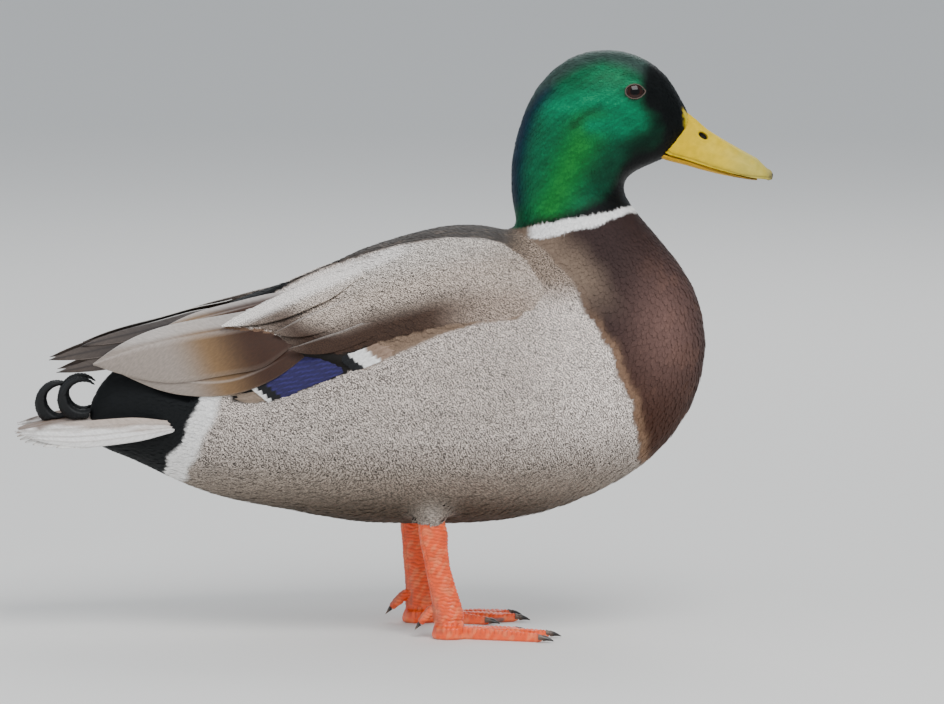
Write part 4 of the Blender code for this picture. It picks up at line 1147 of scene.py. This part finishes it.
def make_eyes(finishes):
    """Makes the wet balls of the eyes and the rolled lids round them."""
    for side, sign in SIDES:
        centre, fore, up, out = eye_frame(side, sign)
        bm = bmesh.new()
        bmesh.ops.create_uvsphere(bm, u_segments=64, v_segments=40, radius=1.0)
        away = np.array([math.hypot(vert.co.x, vert.co.y) * EYE_FORM[1] if vert.co.z >= 0 else BEHIND
                         for vert in bm.verts])
        turn = Matrix([way * size for way, size in zip((fore, up, out), EYE_FORM)]).transposed()
        for vert in bm.verts:
            vert.co = (turn @ vert.co + Vector(centre)) * MM
        bmesh.ops.recalc_face_normals(bm, faces=bm.faces)
        mesh = as_mesh(bm, "eye")
        colour = mix("#2a1009", "#120704", smooth(away, 2.6, IRIS))
        colour = mix(colour, "#020202", 1 - smooth(away, PUPIL - 0.15, PUPIL + 0.15))
        colour = mix(colour, "#050404", smooth(away, IRIS - 0.5, IRIS))
        paint_points(mesh, colour)
        mesh.shade_smooth()
        piece(mesh, f"eyeball_{side}", "eye", finishes["eye"], f"eye_{side}")
        make_lid(f"lid_{side}", centre, fore, up, out, finishes["lid"])


def make_lid(name, centre, fore, up, out, finish):
    """Makes the thin ring of bare skin round an eye, drawn to a point in front."""
    bm = bmesh.new()
    made = bmesh.ops.create_grid(bm, x_segments=96, y_segments=12, size=1.0)["verts"]
    flat = np.array([vert.co[:2] for vert in made])
    turn, roll = flat[:, 0] * math.pi, flat[:, 1] * math.pi
    corner = 0.75 * np.exp(-(turn / 0.34) ** 2)
    wide = LID_WIDTH * (1 + 0.08 * np.sin(turn * 13) + 0.3 * np.exp(-(turn / 0.3) ** 2))
    reach = corner + wide * (1 + np.cos(roll))
    x = np.cos(turn) * (APERTURE[0] + reach)
    y = np.sin(turn) * (APERTURE[1] + reach)
    height = eye_height(np.cos(turn) * (APERTURE[0] + corner * 0.4), np.sin(turn) * APERTURE[1]) + 0.05
    height = height + LID_HEIGHT * np.sin(roll) - 0.42 * (reach - corner)
    points = centre + x[:, None] * fore + y[:, None] * up + height[:, None] * out
    for vert, point in zip(made, points):
        vert.co = point * MM
    bmesh.ops.remove_doubles(bm, verts=bm.verts, dist=2e-5)
    bmesh.ops.recalc_face_normals(bm, faces=bm.faces)
    mesh = as_mesh(bm, name)
    paint_points(mesh, np.tile(to_linear("#56463e"), (len(mesh.vertices), 1)))
    mesh.shade_smooth()
    piece(mesh, name, "head_feathers", finish)


# ---- Bill -----------------------------------------------------------------------------------
MOUTH = ((151.5, 274), (157, 271), (168, 268), (179, 264), (188, 261.5), (196, 259), (208, 258), (214, 257))
NOSTRIL, NOSTRIL_HALF, NOSTRIL_TURN = (174.9, 283.0), (3.3, 1.75), -0.6
BILL_VOXEL = 0.0005
NAIL_VOXEL = 0.0003


def rooted(name, *pushes):
    """Gives a CAD node together with copies pushed inwards, so that its base reaches into the flesh."""
    bm = joined_copy([name])
    for push in pushes:
        copy = joined_copy([name])
        copy.transform(Matrix.Translation(Vector(push) * MM))
        absorb(bm, copy)
    return bm


def painted_bill(half, points, normals):
    """Presses nostril and groove into half of the bill and paints it. Gives points and colours."""
    flat, aside = points[:, [0, 2]], np.abs(points[:, 1])
    over = -line_distance(flat, MOUTH)
    c, s = math.cos(NOSTRIL_TURN), math.sin(NOSTRIL_TURN)
    gap = flat - NOSTRIL
    hole = np.hypot((gap[:, 0] * c + gap[:, 1] * s) / NOSTRIL_HALF[0],
                    (gap[:, 1] * c - gap[:, 0] * s) / NOSTRIL_HALF[1])
    side = smooth(aside, 1.5, 3.5)
    long = smooth(points[:, 0], 150, 210)
    colour = mix("#d8b400", "#d8b928", smooth(long, 0.1, 0.55))
    colour = mix(colour, "#bfae4c", smooth(long, 0.55, 1.0))
    colour = mix(colour, "#cfae08", smooth(rough(points, 5.0), 0.2, 1.0) * 0.35)
    if half == "lower":
        colour = mix(colour, "#d9962a", 0.55)
        colour = mix(colour, "#2a2212", (1 - smooth(np.abs(over), 0.15, 0.75)) * 0.7)
        return points, mix(colour, "#8d8252", smooth(points[:, 0], 209, 213.5) * 0.6)
    sink = 1.9 * (1 - smooth(hole, 0.45, 1.05)) - 0.28 * np.exp(-((hole - 1.35) / 0.3) ** 2)
    groove = 0.3 * np.exp(-((over - 2.1) / 0.6) ** 2)
    # painted shade inside the nostril's hole
    colour = mix(colour, "#15120c", (1 - smooth(hole, 0.75, 1.0)) * side)
    colour = mix(colour, "#4a4022", np.exp(-((over - 2.0) / 0.42) ** 2) * side * 0.6)
    colour = mix(colour, "#2a2212", (1 - smooth(over, 0.1, 0.7)) * 0.75)
    pressed = points - normals * ((sink + groove) * side)[:, None]
    rim = smooth(normals[:, 0], 0.72, 0.92) * smooth(pressed[:, 0], 210, 212)
    colour = mix(colour, "#1d1810", rim * 0.9)
    return pressed, mix(colour, "#8d8252", smooth(pressed[:, 0], 209, 213.5) * 0.6)


def make_nail(finish):
    """Makes the hard nail at the tip of the bill."""
    nail = joined_copy(["bill_nail"], -0.0003)
    nail.transform(Matrix.Translation((0.00015, 0, -0.00045)))
    mesh = remeshed(nail, NAIL_VOXEL)
    points = relax(mesh, mesh_points(mesh), 4)
    set_points(mesh, points)
    fore = (points[:, 0] - 211.9) * 0.8 - (points[:, 2] - 260.2) * 0.6
    paint_points(mesh, mix("#b5a860", "#1d1810", smooth(fore, 0.6, 1.6)))
    mesh.shade_smooth()
    piece(mesh, "nail_horn", "nail", finish, "bill_nail")


def make_bill(finishes):
    """Makes both halves of the bill with nostril, rim and gape, and the nail."""
    for half, pushes in (("upper", ((-3.6, 0, 0.8), (-3.2, 0, 3.2))), ("lower", ((-3.6, 0, 0.6),))):
        horn = rooted(f"bill_{half}", *pushes)
        if half == "upper":
            tip = joined_copy(["bill_nail"], 0.0001)
            tip.transform(Matrix.Translation((-0.0004, 0, 0)))
            absorb(horn, tip)
        mesh = remeshed(horn, BILL_VOXEL)
        points = relax(mesh, mesh_points(mesh), 4)
        calm = relax(mesh, points, 14)
        points += (calm - points) * smooth(points[:, 0], 206, 209)[:, None]
        set_points(mesh, points)
        points, colour = painted_bill(half, points, mesh_normals(mesh))
        set_points(mesh, points)
        paint_points(mesh, colour)
        mesh.shade_smooth()
        piece(mesh, f"bill_{half}_horn", "bill", finishes["bill"], f"bill_{half}")
    make_nail(finishes["nail"])


# ---- Legs -----------------------------------------------------------------------------------
LEG_VOXEL = 0.00058
TOES = ("outer", "middle", "inner")
SCUTE = 2.0                                # height of a scale ring on the shank
HEEL = 0.008                               # metres from the back of the foot to the middle of the ankle
CLAW_VOXEL = 0.00033


def make_legs(finishes):
    """Makes the scaled legs with their webs, and the claws."""
    for side, _ in SIDES:
        shank = rooted(f"shank_{side}", (0.3, 0, 4.5))
        absorb(shank, joined_copy([f"foot_{side}", f"hallux_{side}"], 0.0002))
        mesh = remeshed(shank, LEG_VOXEL)
        points = relax(mesh, mesh_points(mesh), 3)
        set_points(mesh, points)
        points, colour = scaled_leg(points, mesh_normals(mesh), side)
        set_points(mesh, points)
        paint_points(mesh, colour)
        mesh.shade_smooth()
        piece(mesh, f"leg_{side}", "leg_skin", finishes["leg"], f"shank_{side}", f"foot_{side}",
              f"hallux_{side}")
        for toe in TOES + ("hallux",):
            push = (1.0, 0, 2.2) if toe == "hallux" else (-2.6, 0, 0.5)
            mesh = remeshed(rooted(f"claw_{toe}_{side}", push), CLAW_VOXEL)
            points = relax(mesh, mesh_points(mesh), 3)
            set_points(mesh, points)
            spread = (points[:, 0] - points[:, 0].min()) / np.ptp(points[:, 0])
            paint_points(mesh, mix("#6a5648", "#1f1916", smooth(spread, 0.1, 0.6)))
            mesh.shade_smooth()
            piece(mesh, f"horn_{toe}_{side}", "claw", finishes["claw"], f"claw_{toe}_{side}")


def scaled_leg(points, normals, side):
    """Presses the scales into a leg and paints it. Gives points and colours."""
    low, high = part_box(f"shank_{side}")
    heel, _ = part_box(f"foot_{side}")
    ankle = np.array((heel.x + HEEL, (low.y + high.y) / 2)) / MM
    plan, z = points[:, :2], points[:, 2]
    toe, reach = np.full(len(points), 1e9), np.zeros(len(points))
    for name in TOES:
        a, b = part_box(f"claw_{name}_{side}")
        end = np.array(((a.x + b.x) / 2, (a.y + b.y) / 2)) / MM
        span = end - ankle
        part = np.clip((plan - ankle) @ span / (span @ span), 0, 1)
        away = np.linalg.norm(plan - ankle - part[:, None] * span, axis=1)
        nearer = away < toe
        toe[nearer], reach[nearer] = away[nearer], part[nearer] * np.linalg.norm(span)
    on_shank = smooth(z, 7.5, 11)
    wave = rough(points, 3.2) * 0.55
    front = smooth(normals[:, 0], -0.75, -0.1)
    ring = np.where(on_shank > 0.5, (z + 0.15 * points[:, 0] + wave) / SCUTE, (reach + wave * 0.6) / 2.6)
    edge = np.abs(ring - np.round(ring))
    groove = np.exp(-(edge / 0.17) ** 2) * np.where(on_shank > 0.5, 0.35 + 0.65 * front, smooth(z, 2.5, 4.2))
    net = np.abs(np.sin(points[:, 1] * 2.3 + wave) * np.sin((z - points[:, 0]) * 1.9 + wave * 2))
    rear = (1 - front) * on_shank * np.exp(-(net / 0.35) ** 2)
    swell = 0.2 - 0.46 * groove - 0.24 * rear
    web = (1 - smooth(z, 2.3, 3.4)) * smooth(toe, 3.0, 3.9) * smooth(reach, 8, 13)
    fold = 0.14 * np.sin(reach * 1.4 + toe) * web
    points = points + normals * (swell * (1 - web) + fold)[:, None]
    points[:, 2] = np.maximum(points[:, 2], 0.0)
    colour = mix("#ff5a1e", "#ff9460", smooth(rough(points, 2.4, 2.0), -0.2, 0.9) * 0.5)
    colour = mix(colour, "#a83a18", np.clip(groove + rear, 0, 1) * 0.55)
    colour = mix(colour, "#9a6a58", (1 - front) * on_shank * (1 - smooth(z, 14, 40)) * 0.5)
    colour = mix(colour, "#74615c", web * 0.92)
    return points, mix(colour, "#8a5a44", (1 - smooth(z, 0.3, 1.6)) * 0.4)


# ---- Finishes -------------------------------------------------------------------------------
def node(tree, kind, inputs=None, **settings):
    """Adds a shader node with its settings, and values or links for its inputs."""
    made = tree.nodes.new("ShaderNode" + kind)
    for name, value in settings.items():
        setattr(made, name, value)
    for name, value in (inputs or {}).items():
        if isinstance(value, bpy.types.NodeSocket):
            tree.links.new(value, made.inputs[name])
        else:
            made.inputs[name].default_value = value
    return made


def new_finish(name, **values):
    """Gives a new material, its node tree and its main shader."""
    made = bpy.data.materials.new(name)
    made.use_nodes = True
    shader = made.node_tree.nodes["Principled BSDF"]
    for key, value in values.items():
        shader.inputs[key.replace("_", " ")].default_value = value
    return made, made.node_tree, shader


def tone_of(tree, noise, low, high):
    """Gives a factor round one that follows a noise."""
    return node(tree, "MapRange", {"Value": noise.outputs["Fac"], "From Min": 0.3, "From Max": 0.7,
                                   "To Min": low, "To Max": high}).outputs[0]


def multiplied(tree, first, second):
    """Gives the product of two values, each a number or a node's output."""
    return node(tree, "Math", {0: first, 1: second}, operation="MULTIPLY").outputs[0]


def colour_from_mesh(tree, shader, factor):
    """Colours a shader with what is painted on the mesh, times a factor."""
    plume = node(tree, "Attribute", attribute_name="Plume")
    paint = node(tree, "VectorMath", {0: plume.outputs["Color"], "Scale": factor}, operation="SCALE")
    tree.links.new(paint.outputs[0], shader.inputs["Base Color"])


def roughen(tree, shader, height, strength, distance):
    """Gives a shader fine relief from a height."""
    bump = node(tree, "Bump", {"Height": height, "Strength": strength, "Distance": distance})
    tree.links.new(bump.outputs[0], shader.inputs["Normal"])


def contour_finish():
    """Contour feathers: dull keratin with fine dark waves, satin and green on the head."""
    made, tree, shader = new_finish("contour_feather", Roughness=0.66, Specular_IOR_Level=0.25)
    marks = node(tree, "Attribute", attribute_name="Marks")
    parts = node(tree, "SeparateColor", {"Color": marks.outputs["Color"]})
    where = node(tree, "TexCoord").outputs["Object"]
    axes = node(tree, "SeparateXYZ", {"Vector": where})
    low = node(tree, "MapRange", {"Value": axes.outputs["Z"], "From Min": 0.098, "From Max": 0.074})
    squash = node(tree, "MapRange", {"Value": low.outputs[0], "To Min": 1.0, "To Max": 0.34})
    drawn = multiplied(tree, axes.outputs["X"], squash.outputs[0])
    place = node(tree, "CombineXYZ", {"X": drawn, "Y": axes.outputs["Y"], "Z": axes.outputs["Z"]})
    grain = node(tree, "TexNoise", {"Vector": place.outputs[0], "Scale": 1750.0, "Detail": 1.0,
                                    "Distortion": 0.4})
    wave = node(tree, "TexWave", {"Vector": place.outputs[0], "Scale": 340.0, "Distortion": 7.0,
                                  "Detail": 1.0, "Detail Scale": 1.6}, bands_direction="DIAGONAL")
    both = node(tree, "Mix", {0: 0.84, 2: wave.outputs["Fac"], 3: grain.outputs["Fac"]})
    line = node(tree, "MapRange", {"Value": both.outputs[0], "From Min": 0.43, "From Max": 0.57,
                                   "To Min": 0.16, "To Max": 1.5})
    amount = node(tree, "Mix", {0: parts.outputs["Red"], 2: 1.0, 3: line.outputs[0]})
    colour_from_mesh(tree, shader, multiplied(tree, amount.outputs[0], tone_of(tree, grain, 0.86, 1.14)))
    tree.links.new(multiplied(tree, parts.outputs["Blue"], 0.5), shader.inputs["Metallic"])
    gloss = node(tree, "MapRange", {"Value": parts.outputs["Blue"], "To Min": 0.72, "To Max": 0.5})
    tree.links.new(gloss.outputs[0], shader.inputs["Roughness"])
    roughen(tree, shader, both.outputs[0], 0.3, 0.0002)
    return made


def vane_finish(name, gloss, metal, pitch):
    """Long feathers: barbs slanting from the shaft, painted from the mesh's colours."""
    made, tree, shader = new_finish(name, Roughness=gloss, Metallic=metal, Specular_IOR_Level=0.4)
    spot = node(tree, "UVMap", uv_map="Vane")
    axes = node(tree, "SeparateXYZ", {"Vector": spot.outputs[0]})
    aside = node(tree, "Math", {0: axes.outputs["X"], 1: 0.5}, operation="SUBTRACT")
    apart = node(tree, "Math", {0: aside.outputs[0]}, operation="ABSOLUTE")
    slant = node(tree, "Math", {0: apart.outputs[0], 1: -1.2, 2: axes.outputs["Y"]},
                 operation="MULTIPLY_ADD")
    phase = multiplied(tree, slant.outputs[0], 100 * math.tau / pitch)
    barb = node(tree, "Math", {0: phase}, operation="SINE")
    streak = node(tree, "CombineXYZ", {"X": slant.outputs[0], "Y": aside.outputs[0]})
    noise = node(tree, "TexNoise", {"Vector": streak.outputs[0], "Scale": 60.0, "Detail": 5.0})
    line = node(tree, "MapRange", {"Value": barb.outputs[0], "From Min": -1.0, "To Min": 0.9,
                                   "To Max": 1.05})
    colour_from_mesh(tree, shader, multiplied(tree, tone_of(tree, noise, 0.84, 1.14), line.outputs[0]))
    roughen(tree, shader, barb.outputs[0], 0.35, 0.00012)
    return made


def painted_finish(name, gloss, coat, cells, relief_depth, soft=0.0, contrast=0.1, index=1.5,
                   shine=0.5):
    """Bare parts painted from the mesh's colours, with fine cells of a size in millimetres."""
    made, tree, shader = new_finish(
        name, Roughness=gloss, Specular_IOR_Level=shine, Coat_Weight=coat, Coat_Roughness=0.12,
        IOR=index, Subsurface_Weight=soft, Subsurface_Radius=(0.002, 0.001, 0.0006))
    where = node(tree, "TexCoord").outputs["Object"]
    cell = node(tree, "TexVoronoi", {"Vector": where, "Scale": 1000 / cells}, feature="DISTANCE_TO_EDGE")
    noise = node(tree, "TexNoise", {"Vector": where, "Scale": 260.0, "Detail": 4.0})
    colour_from_mesh(tree, shader, tone_of(tree, noise, 1 - contrast, 1 + contrast))
    if relief_depth:
        roughen(tree, shader, cell.outputs["Distance"], 0.5, relief_depth)
    return made


def all_finishes():
    """Gives every material of the bird by name."""
    return {
        "contour": contour_finish(),
        "flight": vane_finish("flight_feather", 0.55, 0.0, 0.7),          # silky barbs
        "speculum": vane_finish("speculum_feather", 0.42, 0.3, 0.7),      # structural violet-blue
        "curl": vane_finish("curled_black_feather", 0.55, 0.0, 0.9),      # glossy black
        "eye": painted_finish("wet_eye", 0.05, 0.0, 2.0, 0.0, index=1.34),            # cornea's sharp glint
        "lid": painted_finish("lid_skin", 0.55, 0.0, 0.5, 0.0002, 0.1),   # dull bare skin
        "bill": painted_finish("bill_keratin", 0.5, 0.0, 1.1, 0.00004, 0.0, shine=0.12),   # waxy horn
        "nail": painted_finish("nail_horn", 0.35, 0.2, 0.8, 0.00003),     # dark polished horn
        "leg": painted_finish("leg_scale_skin", 0.42, 0.1, 1.1, 0.0003, 0.1, 0.16),  # leathery scales
        "claw": painted_finish("claw_horn", 0.4, 0.15, 0.9, 0.00003)}     # worn dark horn


# ---- Set ------------------------------------------------------------------------------------
LIT = Vector((0, 0, 0.15))                 # what the lamps point at
AIM = Vector((0.0440, 0, 0.1590))          # what the camera points at
AWAY, RISE = 8.0, math.radians(6.5)        # the camera's distance and its height as an angle
SEEN = 0.5355                              # width of what the camera sees at the bird, in metres


def make_set():
    """Makes the floor, the lights and the camera."""
    bm = bmesh.new()
    bmesh.ops.create_grid(bm, x_segments=1, y_segments=1, size=40.0)
    mesh = as_mesh(bm, "floor")
    floor = linked(bpy.data.objects.new("floor", mesh))
    made, _, shader = new_finish("studio_paper", Roughness=0.9)
    shader.inputs["Base Color"].default_value = (*to_linear("#e6e4e0"), 1)
    mesh.materials.append(made)
    world = bpy.data.worlds.new("studio")
    bpy.context.scene.world = world
    world.use_nodes = True
    back = world.node_tree.nodes["Background"]
    back.inputs["Color"].default_value = (*to_linear("#dfe6ee"), 1)
    back.inputs["Strength"].default_value = 0.8
    for name, place, size, power in (("key", (0.5, -1.3, 1.7), 1.1, 33.0),
                                     ("fill", (-1.6, -1.2, 0.9), 1.6, 9.0),
                                     ("rim", (0.2, 1.7, 1.5), 1.4, 16.0)):
        light = bpy.data.lights.new(name, "AREA")
        light.size, light.energy = size, power
        lamp = linked(bpy.data.objects.new(name, light))
        lamp.location = place
        lamp.rotation_euler = (LIT - Vector(place)).to_track_quat("-Z", "Y").to_euler()
    cam = linked(bpy.data.objects.new("camera", bpy.data.cameras.new("camera")))
    bpy.context.scene.camera = cam
    cam.location = AIM + Vector((0, -math.cos(RISE), math.sin(RISE))) * AWAY
    cam.rotation_euler = (AIM - cam.location).to_track_quat("-Z", "Y").to_euler()
    cam.data.lens = cam.data.sensor_width * AWAY / SEEN


def main():
    """Dresses the whole bird."""
    finishes = all_finishes()
    skin = make_skin()
    ground = Ground(skin)
    colour, waves, green = plumage(ground.points)
    paint_points(skin, colour, np.stack((waves, waves * 0, green), axis=1))
    piece(skin, "skin", "body_feathers", finishes["contour"], *FLESH)
    make_coat(ground, finishes, make_wings(finishes))
    make_tail(finishes)
    make_curls(finishes)
    make_eyes(finishes)
    make_bill(finishes)
    make_legs(finishes)
    make_set()


main()
